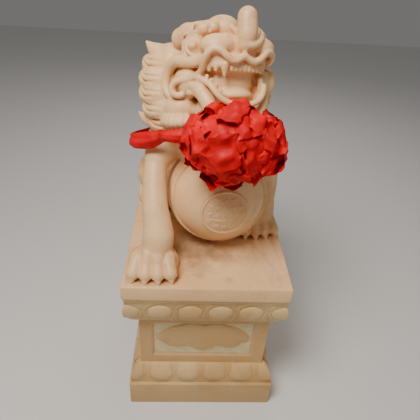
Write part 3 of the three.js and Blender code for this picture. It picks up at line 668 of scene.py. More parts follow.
# %% Flame locks and tail
for side in (-1, 1):
    behind = 0 if side < 0 else 66
    for i in range(2):
        line = [(190, -126, 160), (224, -108, 152), (232, -70, 172), (214, -28, 212)]
        lock = [(side * x, y + behind + 14 * i, z + 76 * i) for x, y, z in line]
        stone.limb(lock, [34, 34, 26, 7], 5, 0.65)
    for i in range(4):
        line = [(46, 30, 470), (72, 80, 454), (90, 108, 408)]
        stone.limb([(side * x, y + 46 * i, z - 60 * i) for x, y, z in line], [44, 40, 9], 5, 0.65, (1, 0, 0))
for side in (-1, 0, 1):
    stone.limb([(side * 14, 300, 60), (side * 44, 350, 150), (side * 62, 346, 250), (side * 40, 300, 318),
                (side * 66, 300, 372)], [40, 46, 42, 30, 9], 4, 0.7, (1, 0, 0))
print("locks and tail carved")

# %% [markdown]
# The head is built up from the skull: snout, cheeks and crown first, then the features that stand
# proud. The upper lip is one roll that rises over each nostril, runs back along the mouth and ends
# in a spiral. The cheekbone roll wraps round that spiral, and the brow rolls over the eye.

# %% Skull, cheeks and brow
for centre, radii, blend in (
    ((0, -14, 0), (112, 114, 104), 12),
    ((0, 112, 10), (86, 62, 38), 16),
    ((0, 92, -22), (98, 84, 38), 12),
    ((0, 62, -72), (86, 84, 54), 12),
    ((-6, 54, 66), (48, 54, 38), 10),
):
    head_lump(centre, radii, blend)


def carve_mane(side):
    head_lump(half(side, (112, -62, -66)), (76, 66, 108))
    head_lump(half(side, (108, -36, -150)), (58, 64, 56))
    for i in range(5):
        up = -4 - 41 * i
        out = 192 - 5 * (i - 1.6) ** 2
        line = [(138, -14, up - 10), (out - 16, -42, up - 16), (out - 3, -70, up - 14),
                (out + 4, -96, up - 2)]
        head_limb(half(side, line), [28, 31, 28, 11], 8, 0.7)
        for rise in (-10, 7):
            strand = [(s + 13, a + 17, u + rise + bow) for (s, a, u), bow in zip(line, (-10, 0, 3, 12))]
            head_limb(half(side, strand), [2, 3.4, 3.4, 2], 2, cut=True)
    tuft = [(122, -36, -170), (152, -66, -178), (182, -100, -172), (200, -128, -154)]
    head_limb(half(side, tuft), [32, 30, 18, 3], 6, 0.6)


def carve_cheek(side):
    head_lump(half(side, (104, 10, -142)), (52, 54, 46), 8)
    head_lump(half(side, (98, 34, -72)), (36, 58, 46), 8)
    roll = [(80, 114, -20), (98, 90, -24), (118, 62, -20), (134, 34, -20), (143, 8, -40), (149, -2, -70),
            (147, 4, -98), (133, 24, -113), (112, 44, -114), (94, 66, -106)]
    head_limb(half(side, roll) if side < 0 else roll, [13, 15, 17, 16, 14, 12, 12, 11, 9, 7], 4)


def carve_ear(side):
    ear = [(104, 2, 2), (130, -22, 2), (160, -44, 12), (186, -60, 38)]
    head_limb(half(side, ear), [34, 32, 24, 5], 4, 0.7)


def carve_beard(side):
    for turn in np.linspace(-0.5, 1.5, 8):
        s, a = 104 + 50 * math.cos(turn), 10 + 52 * math.sin(turn)
        curl = [(s, a, -164), (s + 3, a + 3, -180), (s - 3, a - 3, -200)]
        head_limb(half(side, curl), [8, 12, 3], 3)


SOCKET_CENTRE = np.array([90, 66, 12])
SOCKET_RADII = np.array([34, 38, 36])
EYE_WAY = unit([0.5, 0.85, 0.1])
LIDS = (0.5, 0.85, 1.2)
BROW_NOTCHES = ((62, 104), (92, 84))


def on_socket(lid, turn):
    """A place on the eye's socket: lid is the angle off its middle, turn goes round it."""
    outward = unit(np.cross(EYE_WAY, (0, 0, 1)))
    above = np.cross(outward, EYE_WAY)
    way = math.cos(lid) * EYE_WAY + math.sin(lid) * (math.cos(turn) * outward + math.sin(turn) * above)
    return SOCKET_CENTRE + SOCKET_RADII * way


def carve_brow(side):
    head_limb(half(side, [(46, 92, 64), (76, 76, 60), (100, 48, 50), (110, 22, 42)]), [15, 20, 26, 28], 5)
    head_lump(half(side, (60, 42, 56)), (34, 40, 28), 6)
    for s, a in BROW_NOTCHES:
        head_limb(half(side, [(s - 6, a + 12, 86), (s, a, 64), (s + 2, a - 8, 40)]), [3, 6, 2], 3, cut=True)
    head_lump(half(side, SOCKET_CENTRE), SOCKET_RADII, 8)
    head_lump(half(side, on_socket(0, 0) - 7 * EYE_WAY), (14, 14, 11), 2)
    for lid in LIDS:
        groove = [on_socket(lid, turn) for turn in np.linspace(-1.9, 2.1, 9)]
        head_limb(half(side, groove), [2, 3, 4, 4, 4, 4, 4, 3, 2], 2, cut=True)


def carve_crown():
    for row in (0, 1):
        for side in (-1, 0, 1):
            line = [(side * 42, -10 - 60 * row, 62 - 14 * row), (side * 62, -56 - 50 * row, 70 - 44 * row),
                    (side * 70, -92 - 40 * row, 42 - 70 * row), (side * 62, -110 - 26 * row, 8 - 80 * row)]
            head_limb(line, [30, 34, 26, 6], 4, 0.8, (1, 0, 0))


carve_crown()
for carve in (carve_mane, carve_cheek, carve_ear, carve_beard, carve_brow):
    for side in (-1, 1):
        carve(side)
print("skull and mane carved")

# %% [markdown]
# The mouth is open. A gum arch carries a row of square teeth with one fang on the near side. The
# lower jaw is a second arch with its own lip band and a tusk that stands up on the far side. The
# lip's spiral is carved on the near side only, where the head's turn leaves room for it.

# %% Muzzle, horn and mouth
LIP = [(0, 184, -12), (24, 182, -25), (42, 180, -18), (60, 175, -2), (76, 166, 2), (88, 155, -9),
       (93, 142, -26), (91, 126, -44), (96, 107, -57), (109, 88, -65), (123, 70, -68), (139, 54, -73),
       (147, 46, -88), (143, 48, -103), (127, 56, -108), (114, 60, -98), (118, 58, -85)]
JAW_RIM = [(98, 106, -62), (91, 132, -70), (82, 158, -82), (72, 171, -99), (56, 178, -117), (30, 180, -128)]
JAW_SIDE = [(102, 92, -84), (94, 122, -96), (82, 146, -124), (72, 150, -160)]
LOWER_TEETH = [(84, 138, -72), (77, 152, -82), (69, 162, -94), (59, 168, -106)]
JAW_BAND = [(112, 84, -102), (103, 112, -104), (94, 137, -122), (84, 150, -147), (74, 154, -178)]
TEETH = (-76, -64, -46, -28, -16, -4, 8, 20, 32, 44, 56, 68)
FANG = -46
FAR_JAW = np.array([0.88, 1, 1])
HORN = [(6, 172, 16), (9, 177, 42), (10, 173, 80)]
HORN_FOLD = [(-22, 146, 60), (-12, 163, 44), (-2, 180, 26), (12, 191, 12), (30, 187, 16),
             (50, 174, 30), (60, 158, 44)]


def on_arch(s):
    return 172 - 40 * abs(s / 80) ** 4


def carve_teeth():
    for up, inward, radius in ((-18, 15, 17), (-32, 8, 10)):
        gum = [(s, on_arch(s) - inward, up) for s in (-82, -62, -34, 0, 34, 62, 80)]
        head_limb(gum, radius, 6)
    for s in TEETH:
        low, top_radius, tip = (-62, 12, 3.5) if s == FANG else (-45, 7, 6)
        head_limb([(s, on_arch(s) - 1, -34), (s, on_arch(s) - 2, low)], [top_radius, tip], 1.5)


def carve_jaw():
    head_lump((118, 100, -68), (18, 24, 36), 5)
    head_limb([(88, 92, -112), (88, 108, -80), (90, 112, -52)], [30, 26, 16], 10)
    head_lump((0, 82, -148), (92, 90, 54))
    head_lump((0, 98, -106), (60, 72, 24), 8)
    arch = np.vstack([half(-1, JAW_RIM), [(0, 180, -131)], JAW_RIM[:1:-1] * FAR_JAW])
    head_limb(arch, 8, 4)
    head_limb(half(-1, JAW_SIDE), [12, 18, 20, 20], 10)
    head_limb(JAW_SIDE * FAR_JAW, [12, 18, 20, 20], 10)
    for s, a, u in LOWER_TEETH:
        head_limb(half(-1, [(s, a, u), (s - 2, a, u + 12)]), [6.5, 5], 2)
    head_limb([(0, 112, -178), (2, 124, -206), (6, 122, -230)], [38, 26, 8], 8)
    head_limb([(77, 140, -108), (69, 145, -64)], [14, 7], 3)
    head_limb(half(-1, JAW_BAND), [7, 7, 8, 8, 8], 4)


def carve_muzzle(side):
    head_lump(half(side, (51, 136, 13)), (50, 44, 30), 4)
    head_limb(half(side, LIP if side < 0 else LIP[:6] + [(82, 146, -24)]), 9, 3)


carve_jaw()
for side in (-1, 1):
    carve_muzzle(side)
carve_teeth()
head_limb(HORN, [22, 26, 25], 4)
head_lump((4, 150, 22), (30, 34, 26), 8)
head_limb(HORN_FOLD, [6, 8, 9, 9, 9, 8, 6], 2)
print("mouth carved")

# %% [markdown]
# The slab is the same stone, so it joins the field too, with softened edges and a small fillet
# where the feet meet it. One more thing is kept for the painted shade in recesses: how hollow each
# place is. A point a little way outside an open surface is that far from the stone, and in a recess it is
# nearer.

# %% Slab, and the skin of the whole carving
SLAB_EDGE = 4
FOOT_FILLET = 7
HOLLOW_REACH = 16


def add_slab():
    _, grid = stone.window(stone.low, [9999] * 3)
    halves = (SLAB_WIDTH / 2, SLAB_DEPTH / 2, SLAB_THICKNESS / 2)
    outside = [np.abs(g - c) - h + SLAB_EDGE for g, c, h in zip(grid, (0, 0, -halves[2]), halves)]
    apart = np.sqrt(sum(np.maximum(o, 0) ** 2 for o in outside))
    slab = apart + np.minimum(np.maximum(np.maximum(outside[0], outside[1]), outside[2]), 0) - SLAB_EDGE
    footprint = np.maximum(np.abs(grid[0]) - halves[0] + 1, np.abs(grid[1]) - halves[1] + 1)
    stone.depth[:] = np.maximum(stone.depth, np.maximum(footprint, -halves[2] - grid[2]))
    stone.depth[:] = melted(slab, stone.depth, FOOT_FILLET)


def depth_at(places):
    """The field's value at places, from the eight grid points round each."""
    at = (np.asarray(places) - stone.low) / stone.cell
    base = np.clip(np.floor(at).astype(int), 0, np.array(stone.depth.shape) - 2)
    share = at - base
    total = 0
    for corner in np.ndindex(2, 2, 2):
        weight = np.prod(np.where(corner, share, 1 - share), axis=1)
        total = total + weight * stone.depth[tuple((base + corner).T)]
    return total


def give_hollow(thing):
    """Stores on each point how much of the open space round it is filled by stone, for painted shade."""
    points, normals = np.empty(3 * len(thing.data.vertices)), np.empty(3 * len(thing.data.vertices))
    thing.data.vertices.foreach_get("co", points)
    thing.data.vertices.foreach_get("normal", normals)
    outside = points.reshape(-1, 3) / MM - [0, 0, SLAB_TOP] + HOLLOW_REACH * normals.reshape(-1, 3)
    hollow = np.clip(1 - depth_at(outside) / HOLLOW_REACH, 0, 1)
    add_share(thing, "hollow", hollow)
    return float(hollow.mean())


add_slab()
skin_points, skin_quads = skin_of(stone)
figure = mesh_object("pixiu_figure_carved", (skin_points + [0, 0, SLAB_TOP]) * MM, skin_quads)
figure = thinned(figure, FIGURE_FACES)
figure.data.shade_smooth()
print("figure", len(figure.data.vertices), "points, mean hollow", round(give_hollow(figure), 3))

# %% [markdown]
# ## The ball
# The ball's carving is too fine for the grid, so it is its own mesh: a globe whose rows of points
# are close together on the side that shows. Its height above the plain globe is one formula made of
# a groove, a band of lattice outside it, and a round coin with a rim. The coin's face has rows of
# short shallow strokes in place of an inscription, drawn with a fixed seed.

# %% Ball with its groove, lattice and coin
COIN_FACING = unit([0.11, -0.99, 0.06])
COIN_RADIUS = 81
COIN_RIM = 7
COIN_INNER = COIN_RADIUS - COIN_RIM
COIN_FIELD = 3.0
COIN_RIM_HEIGHT = 8.0
STROKE_HEIGHT = 2.4
STROKE_WIDTH = 2.0
STROKE_PITCH = 24
STROKES_EACH = 7
GROOVE_ANGLE = math.radians(60)
LATTICE_END = math.radians(74)
LATTICE_PITCH = 13.0
LATTICE_HEIGHT = 2.4
BALL_ROWS = np.radians(np.concatenate([np.linspace(0, 84, 150)[1:], np.linspace(84, 180, 30)[1:-1]]))
BALL_TURNS = 360


def sides_of(facing):
    """The level direction and the upward one across a facing."""
    side = unit(np.cross(facing, (0, 0, 1)))
    return side, np.cross(side, facing)


def coin_strokes(a, b):
    """Height share of the strokes at places a, b on the coin's face."""
    rng = np.random.default_rng(7)
    nearest = np.full(a.shape, 99.0)
    for row in range(-2, 3):
        for column in range(-2, 3):
            middle = np.array([column, row]) * STROKE_PITCH
            if np.hypot(*middle) > COIN_INNER - 9:
                continue
            for _ in range(STROKES_EACH):
                level = rng.random() < 0.55
                half_length = rng.uniform(2.0, 5.5)
                x, y = middle + rng.uniform(-7, 7, 2)
                along, across = (a - x, b - y) if level else (b - y, a - x)
                nearest = np.minimum(nearest, np.hypot(np.maximum(np.abs(along) - half_length, 0), across))
    return eased(STROKE_WIDTH, STROKE_WIDTH * 0.4, nearest)


def hump(off, width):
    return np.exp(-(off / width) ** 2)


def ball_relief(directions):
    """Height over the plain globe, and how hollow it is for its painted shade, in each direction."""
    angle = np.arccos(np.clip(directions @ BALL_FACING, -1, 1))
    past_groove = (angle - GROOVE_ANGLE) * BALL_RADIUS
    height = -8.0 * hump(past_groove, 3.0) + 4.0 * hump(past_groove - 8, 3.0)
    height -= 4.0 * hump((angle - LATTICE_END) * BALL_RADIUS, 2.8)
    side, up = sides_of(BALL_FACING)
    around = np.arctan2(directions @ side, directions @ up) * BALL_RADIUS
    lines = [np.abs((around + s * past_groove) / LATTICE_PITCH % 1 - 0.5) for s in (-1, 1)]
    in_band = (angle > GROOVE_ANGLE + 0.03) & (angle < LATTICE_END - 0.02)
    height += in_band * LATTICE_HEIGHT * eased(0.32, 0.44, np.maximum(*lines))
    off = np.arccos(np.clip(directions @ COIN_FACING, -1, 1)) * BALL_RADIUS
    side, up = sides_of(COIN_FACING)
    strokes = coin_strokes(-directions @ side * BALL_RADIUS, directions @ up * BALL_RADIUS)
    strokes *= off < COIN_INNER - 3
    on_coin = eased(COIN_RADIUS, COIN_RADIUS - 3, off)
    rim = COIN_RIM_HEIGHT * on_coin * eased(COIN_INNER - 2.5, COIN_INNER, off)
    # The hollow share sets painted shade: in the grooves, over the lattice band's low ground, on the coin's
    # field between strokes and in a ring round the coin's edge.
    hollow = np.clip(-height / 6, 0, 1) + 0.45 * in_band * (height < 0.8)
    hollow += 0.5 * (off < COIN_INNER) * (1 - strokes)
    hollow += 0.8 * hump(off - COIN_RADIUS - 1, 2.5)
    return height + np.maximum(rim, on_coin * COIN_FIELD + STROKE_HEIGHT * strokes), np.clip(hollow, 0, 1)


def make_ball():
    theta = BALL_ROWS[:, None, None]
    phi = np.linspace(0, 2 * math.pi, BALL_TURNS, endpoint=False)[None, :, None]
    side, up = sides_of(BALL_FACING)
    rings = (np.cos(theta) * BALL_FACING + np.sin(theta) * np.cos(phi) * side
             + np.sin(theta) * np.sin(phi) * up)
    directions = np.vstack([[BALL_FACING], rings.reshape(-1, 3), [-BALL_FACING]])
    height, hollow = ball_relief(directions)
    places = BALL_CENTRE + directions * (BALL_RADIUS + height)[:, None]
    first = 1 + np.arange(BALL_TURNS)
    pairs = list(zip(first, np.roll(first, -1)))
    below = (len(BALL_ROWS) - 1) * BALL_TURNS
    faces = [(0, b, a) for a, b in pairs] + list(1 + ring_faces(len(BALL_ROWS), BALL_TURNS))
    faces += [(a + below, b + below, len(directions) - 1) for a, b in pairs]
    return places, faces, hollow


ball_places, ball_faces, ball_hollow = make_ball()
ball = mesh_object("treasure_ball", (ball_places + [0, 0, SLAB_TOP]) * MM, ball_faces)
add_share(ball, "hollow", ball_hollow)
print("ball", len(ball_faces), "faces")

# %% [markdown]
# ## The pedestal
# Its outline is a stack of mouldings that run round all four sides: plinth, a skirt of lotus petals,
# a waist with sunk panels, and a rounded cornice whose petals hang down. The plain body is a loft:
# one rounded rectangle for each named height, joined to the next. Only the inset changes.

# %% Body of the pedestal
PLINTH = 122
SKIRT = 80
WAIST = 248
CORNICE = 127
WAIST_INSET = 46
CORNICE_INSET = 5
CORNER_ROUND = 5
CORE_INSET = WAIST_INSET + 20
SKIRT_TOP = PLINTH + SKIRT
WAIST_TOP = SKIRT_TOP + WAIST
PEDESTAL_TOP = WAIST_TOP + CORNICE

BODY_PROFILE = [
    (5, 0), (2, 3), (2, PLINTH - 4), (6, PLINTH), (13, PLINTH + 1), (13, PLINTH + SKIRT * 0.16),
    (15, PLINTH + SKIRT * 0.34), (20, PLINTH + SKIRT * 0.55), (28, PLINTH + SKIRT * 0.76),
    (37, PLINTH + SKIRT * 0.9), (WAIST_INSET, SKIRT_TOP), (CORE_INSET, SKIRT_TOP + 1),
    (CORE_INSET, WAIST_TOP - 1), (WAIST_INSET, WAIST_TOP), (38, WAIST_TOP + 2), (24, WAIST_TOP + 12),
    (15, WAIST_TOP + 27), (10.5, WAIST_TOP + 48), (9.5, WAIST_TOP + 70), (9.5, PEDESTAL_TOP - 14),
    (CORNICE_INSET, PEDESTAL_TOP - 12), (CORNICE_INSET, PEDESTAL_TOP - 2), (CORNICE_INSET + 3, PEDESTAL_TOP),
]


def rounded_ring(inset, height):
    half_x, half_y = SLAB_WIDTH / 2 - inset, SLAB_DEPTH / 2 - inset
    ring = []
    for sx, sy, start in ((1, -1, -90), (1, 1, 0), (-1, 1, 90), (-1, -1, 180)):
        for step in (0, 30, 60, 90):
            turn = math.radians(start + step)
            ring.append((sx * (half_x - CORNER_ROUND) + CORNER_ROUND * math.cos(turn),
                         sy * (half_y - CORNER_ROUND) + CORNER_ROUND * math.sin(turn), height))
    return ring


rings = [rounded_ring(inset, height) for inset, height in BODY_PROFILE]
corners, total = len(rings[0]), len(rings) * len(rings[0])
caps = [tuple(range(corners))[::-1], tuple(range(total - corners, total))]
body_faces = caps + list(ring_faces(len(rings), corners))
pedestal = mesh_object("pedestal_body", np.concatenate(rings) * MM, body_faces)
pedestal.data.set_sharp_from_angle(angle=math.radians(26))
print("pedestal body", len(body_faces), "faces")

# %% [markdown]
# A lotus petal is carved the same way each time, so one is modelled and repeated. It has a plump
# boss and a double rim that arches round it, and where two rims meet they make the small forked
# filler. The petal is bent onto the moulding: its relief is lifted along the outward direction
# of the profile. A wider petal is folded round the block's corner.

# %% One petal for each row, and one for each corner
PETAL_COUNTS = (4, 7)
PETAL_HALF = 54
CORNER_HALF = 66
PETAL_SUNK = 1.2
BOSS_HALF = 43
BOSS_ROUND = 0.42
RIMS = ((48, 4.6), (55, 4.2))
RIM_WIDTH = 2.8


def on_profile(height):
    """Inset and outward direction of the body's moulding at a height."""
    insets, heights = np.array(BODY_PROFILE, float).T
    inset = np.interp(height, heights, insets)
    rise = (np.interp(height + 4, heights, insets) - np.interp(height - 4, heights, insets)) / 8
    length = np.sqrt(1 + rise**2)
    return inset, 1 / length, rise / length


def petal_relief(boss_height, boss, arch):
    """Lift of a petal from its boss's share and from its distance on the arch of the rims."""
    rims = [height * np.sqrt(np.clip(1 - ((arch - middle) / RIM_WIDTH) ** 2, 0, 1))
            for middle, height in RIMS]
    return np.maximum(boss_height * np.clip(boss, 0, 1) ** BOSS_ROUND, np.maximum(*rims))


def upper_relief(s, t):
    """An upper petal: s runs along the side and t up from the middle of the boss."""
    boss = 1 - (s / BOSS_HALF) ** 2 - np.where(t > 0, t / 29, t / 34) ** 2
    return petal_relief(10.6, boss, np.hypot(s, np.maximum(t + 8, 0)) + np.maximum(-8 - t, 0) * 0.25)


def lower_relief(s, t):
    boss = 1 - (np.abs(s) / BOSS_HALF) ** 2.6 - np.where(t > 0, t / 60, t / 34) ** 2
    return petal_relief(12.0, boss, np.hypot(s, np.minimum(t - 10, 0)))


def cavity(height, reach):
    """How far each place of a relief lies below the mean of the places round it."""
    padded = np.pad(height, reach, mode="edge")
    near = np.lib.stride_tricks.sliding_window_view(padded, (2 * reach + 1, 2 * reach + 1))
    return np.clip((near.mean((2, 3)) - height) / 1.5, 0, 1)


def petal_grid(relief, half, middle, low, high, columns):
    """Place along the side, inset and height of a petal's points."""
    s, z = np.meshgrid(np.linspace(-half, half, columns), np.linspace(low, high, 44))
    inset, outward, slope = on_profile(z)
    fade = eased(low, low + 2, z) * eased(high, high - 2, z)
    carved = relief(s, z - middle)
    lift = (carved - PETAL_SUNK) * fade - PETAL_SUNK * (1 - fade)
    # The cavity share sets the painted shade in the petal's hollows.
    return s, inset - lift * outward, z + lift * slope, cavity(carved, 3)


def side_petal(name, relief, *heights):
    s, inset, z, hollow = petal_grid(relief, PETAL_HALF, *heights, 52)
    return sheet_object(name, s, inset, z, hollow=hollow)


def corner_petal(name, relief, *heights):
    wider = lambda s, t: relief(s * 51 / CORNER_HALF, t)
    s, inset, z, hollow = petal_grid(wider, CORNER_HALF, *heights, 65)
    along = -CORNER_HALF + (CORNER_HALF - inset) * (1 - np.abs(s) / CORNER_HALF)
    x, y = np.where(s <= 0, along, -inset), np.where(s <= 0, inset, -along)
    return sheet_object(name, x, y, z, hollow=hollow)


PETAL_ROWS = {"upper": (upper_relief, 520, WAIST_TOP + 13, PEDESTAL_TOP - 13),
              "lower": (lower_relief, 172, PLINTH + 4, SKIRT_TOP - 2)}
petal_models = {row: (side_petal(row + "_petal", *shape), corner_petal(row + "_corner", *shape))
                for row, shape in PETAL_ROWS.items()}
print("petal models", list(petal_models))

# %% [markdown]
# The rows are made with Geometry Nodes: the petal is set on the points of a line along one side,
# the corner petal is set at its end, and the whole side is turned to face its way. The tree ends
# by making the copies real and giving them the stone, because an export drops copies.

# %% A tree that repeats petals along a side
def vector(tree, **parts):
    return add_node(tree, "ShaderNodeCombineXYZ", parts).outputs[0]


def petal_side_tree():
    tree, ids, given = new_group("petal_side", "GeometryNodeTree", {
        "Count": "Int", "Pitch": "Float", "Half run": "Float", "Out": "Float", "Turn": "Float",
        "Petal": "Object", "Corner": "Object", "Stone": "Material"}, {"Geometry": "Geometry"})
    run = calc(tree, "MULTIPLY", calc(tree, "SUBTRACT", given["Count"], 1), given["Pitch"])
    front = calc(tree, "MULTIPLY", given["Out"], -1)
    line = add_node(tree, "GeometryNodeMeshLine", {
        "Count": given["Count"], "Offset": vector(tree, X=given["Pitch"]),
        "Start Location": vector(tree, X=calc(tree, "MULTIPLY", run, -0.5), Y=front)})
    petal = add_node(tree, "GeometryNodeObjectInfo", {"Object": given["Petal"]})
    row = add_node(tree, "GeometryNodeInstanceOnPoints", {
        "Points": line.outputs[0], "Instance": petal.outputs["Geometry"]})
    corner = add_node(tree, "GeometryNodeObjectInfo", {"Object": given["Corner"]})
    placed = add_node(tree, "GeometryNodeTransform", {
        "Geometry": corner.outputs["Geometry"], "Translation": vector(tree, X=given["Half run"], Y=front)})
    side = add_node(tree, "GeometryNodeJoinGeometry")
    for part in (placed, row):
        tree.links.new(part.outputs[0], side.inputs[0])
    turned = add_node(tree, "GeometryNodeTransform", {
        "Geometry": side.outputs[0], "Rotation": vector(tree, Z=given["Turn"])})
    finish_tree(tree, add_node(tree, "GeometryNodeRealizeInstances", {"Geometry": turned.outputs[0]}),
                given["Stone"])
    return tree, ids


def finish_tree(tree, last, material):
    """Gives the last node's geometry its material and sends it out."""
    faced = add_node(tree, "GeometryNodeSetMaterial", {"Geometry": last.outputs[0], "Material": material})
    add_node(tree, "NodeGroupOutput", {0: faced.outputs[0]})


def made_by_tree(name, tree, ids, values):
    """An object with the mesh that a tree makes from these named values."""
    holder = mesh_object(name, [], [])
    nodes = holder.modifiers.new(tree.name, "NODES")
    nodes.node_group = tree
    for label, value in values.items():
        nodes[ids[label]] = value
    return plain_mesh(holder, name)


def joined_object(name, things):
    """One object with the meshes of several, which are removed."""
    points, faces = [], []
    shares = {layer.name: [] for layer in things[0].data.attributes if layer.name in ("hollow", "ground")}
    for thing in things:
        base = len(points)
        for label, values in shares.items():
            values += [item.value for item in thing.data.attributes[label].data]
        points += [tuple(v.co) for v in thing.data.vertices]
        faces += [tuple(base + i for i in p.vertices) for p in thing.data.polygons]
        bpy.data.objects.remove(thing)
    made = mesh_object(name, points, faces)
    for label, values in shares.items():
        add_share(made, label, values)
    return made


SLAB_HALVES = (SLAB_WIDTH / 2, SLAB_DEPTH / 2)
SIDES = [(quarter * math.pi / 2, SLAB_HALVES[quarter % 2], SLAB_HALVES[1 - quarter % 2])
         for quarter in range(4)]
side_tree, side_ids = petal_side_tree()
petal_sides = []
for row, (petal, corner) in petal_models.items():
    for quarter, (turn, run, out) in enumerate(SIDES):
        count = PETAL_COUNTS[quarter % 2]
        pitch = 2 * (run - CORNER_HALF - 8) / count
        petal_sides.append(made_by_tree(f"{row}_side_{quarter}", side_tree, side_ids, {
            "Count": count, "Pitch": pitch * MM, "Half run": run * MM, "Out": out * MM, "Turn": turn,
            "Petal": petal, "Corner": corner, "Stone": pedestal_stone}))
for models in petal_models.values():
    for model in models:
        bpy.data.objects.remove(model)
petals = joined_object("lotus_petals", petal_sides)
print("petals", len(petals.data.polygons), "faces")

# %% [markdown]
# The waist's panels are sunk with a rough ground, on which a smooth cloud-headed cartouche is left
# standing. A panel is a relief too: a sheet of points whose depth follows the signed distance to
# the cartouche's outline, and that outline is a smooth closed line through a few named places.

# %% Waist panels
PANEL_MARGIN = 45
PANEL_MIDDLE = 331
PANEL_HALF_HEIGHT = 90
PANEL_DEPTH = 9
PANEL_CELL = 3.2
CARTOUCHE_RISE = 6
CARTOUCHE_LINE = 1.6
CARTOUCHE_HALF = [(0, 72), (14, 78), (36, 85), (60, 82), (84, 70), (112, 60), (138, 44), (160, 22), (168, 2),
                  (156, -14), (140, -10), (136, -24), (120, -41), (80, -42), (48, -38), (30, -52), (0, -60)]


def closed_outline(half_points, steps):
    loop = np.array(half_points + [(-x, y) for x, y in half_points[-2:0:-1]], float)
    return np.array([on_curve(*(loop[(i + k) % len(loop)] for k in (-1, 0, 1, 2)), t)
                     for i in range(len(loop)) for t in np.arange(steps) / steps])


def outline_distance(outline, x, y):
    """Signed distance to a closed line, below nought inside."""
    nearest, inside = np.full(x.shape, 1e9), np.zeros(x.shape, bool)
    for (ax, ay), (bx, by) in zip(outline, np.roll(outline, -1, 0)):
        ex, ey = bx - ax, by - ay
        t = np.clip(((x - ax) * ex + (y - ay) * ey) / (ex * ex + ey * ey), 0, 1)
        nearest = np.minimum(nearest, np.hypot(x - ax - t * ex, y - ay - t * ey))
        inside ^= ((ay > y) != (by > y)) & (x < ax + (y - ay) / (by - ay + 1e-12) * ex)
    return np.where(inside, -nearest, nearest)


def panel_mesh(name, turn, half_run, out):
    columns, rows = int(half_run * 2 / PANEL_CELL), int(WAIST / PANEL_CELL)
    s, z = np.meshgrid(np.linspace(-half_run, half_run, columns), np.linspace(SKIRT_TOP, WAIST_TOP, rows))
    frame_gap = np.maximum(np.abs(s) - half_run + PANEL_MARGIN, np.abs(z - PANEL_MIDDLE) - PANEL_HALF_HEIGHT)
    depth = PANEL_DEPTH * eased(0, -3, frame_gap)
    stretch = (half_run - PANEL_MARGIN) / (SLAB_WIDTH / 2 - WAIST_INSET - PANEL_MARGIN)
    gap = outline_distance(closed_outline(CARTOUCHE_HALF, 5), s / stretch, z - PANEL_MIDDLE)
    depth -= CARTOUCHE_RISE * eased(2, -2, gap)
    depth += CARTOUCHE_LINE * hump(gap + 10, 2.4) * (np.abs(s / stretch) < 150)
    patchy = (0.74 + 0.1 * np.sin(0.11 * s + 2 * np.sin(0.07 * z))
              + 0.1 * np.sin(0.23 * z + 1.5 * np.sin(0.09 * s)))
    ground = patchy * eased(0, -4, frame_gap) * eased(-1, 2, gap)
    cos, sin, y = math.cos(turn), math.sin(turn), depth - out
    # The cavity share sets the painted shade in the panel's sunk places.
    return sheet_object(name, cos * s - sin * y, sin * s + cos * y, z, ground=ground,
                        hollow=cavity(-depth, 2))


panels = joined_object("waist_panels", [
    panel_mesh(f"panel_{quarter}", turn, run - WAIST_INSET, out - WAIST_INSET)
    for quarter, (turn, run, out) in enumerate(SIDES)])
print("panels", len(panels.data.polygons), "faces")

# %% [markdown]
# ## The silk
# The rosette is one long satin ribbon gathered on a thread, so that it stands out in loops on every
# side of a knot. A loop is modelled once in a few variants, as a teardrop of ribbon that is pinched
# at the knot and ruffled at its edges.

# %% Loops of ribbon
ROSETTE_CENTRE = np.array([50, -314, 455.0])
ROSETTE_RADII = np.array([148, 68, 123.0])
KNOT_COVERED = 1.45
KNOT_LEAST = 12
LOOPS = 54
LOOP_VARIANTS = 5
LOOP_SEED = 20
LOOP_HEIGHT = 82
LOOP_SPREAD = 26
LOOP_HALF_WIDTH = 44


def ribbon_loop(name, seed):
    rng = np.random.default_rng(seed)
    u, v = np.meshgrid(np.linspace(-math.pi, math.pi, 41), np.linspace(-1, 1, 19), indexing="ij")
    raised = (1 + np.cos(u)) / 2
    waves = sum(rng.uniform(1.5, 3.5) * np.sin(v * rng.uniform(2, 5) + u * rng.uniform(-1, 1)
                                               + rng.uniform(0, 6)) for _ in range(3))
    pleat = 4 * np.sin(v * rng.uniform(6, 10) + rng.uniform(0, 6)) * (1 - raised) ** 0.5
    dome = 1 - 0.06 * np.abs(v) ** 2.4
    z = LOOP_HEIGHT * raised**0.72 * dome + waves * raised * 0.7
    spread = LOOP_SPREAD * rng.uniform(1.0, 1.35) * 1.6
    x = spread * np.sin(u) * raised**0.5 * dome + waves * np.sin(u) + pleat
    y = LOOP_HALF_WIDTH * v * (0.3 + 0.7 * raised**0.7) + rng.uniform(-9, 9) * np.sin(u) * raised
    return sheet_object(name, x, y, z)


loop_models = bpy.data.collections.new("loop_models")
bpy.context.scene.collection.children.link(loop_models)
for i in range(LOOP_VARIANTS):
    loop = ribbon_loop(f"loop_{i}", LOOP_SEED + i)
    bpy.context.scene.collection.objects.unlink(loop)
    loop_models.objects.link(loop)

# %% [markdown]
# Geometry Nodes sets a loop on each point of the knot, points it outwards, and turns and scales it
# by its own seeded amount. The knot's points leave bare the side that lies on the chest. Then the
# cloth is pushed about by a noise, and out along its own normal by the cells of a second pattern,
# which leaves the sharp creases of crumpled satin.

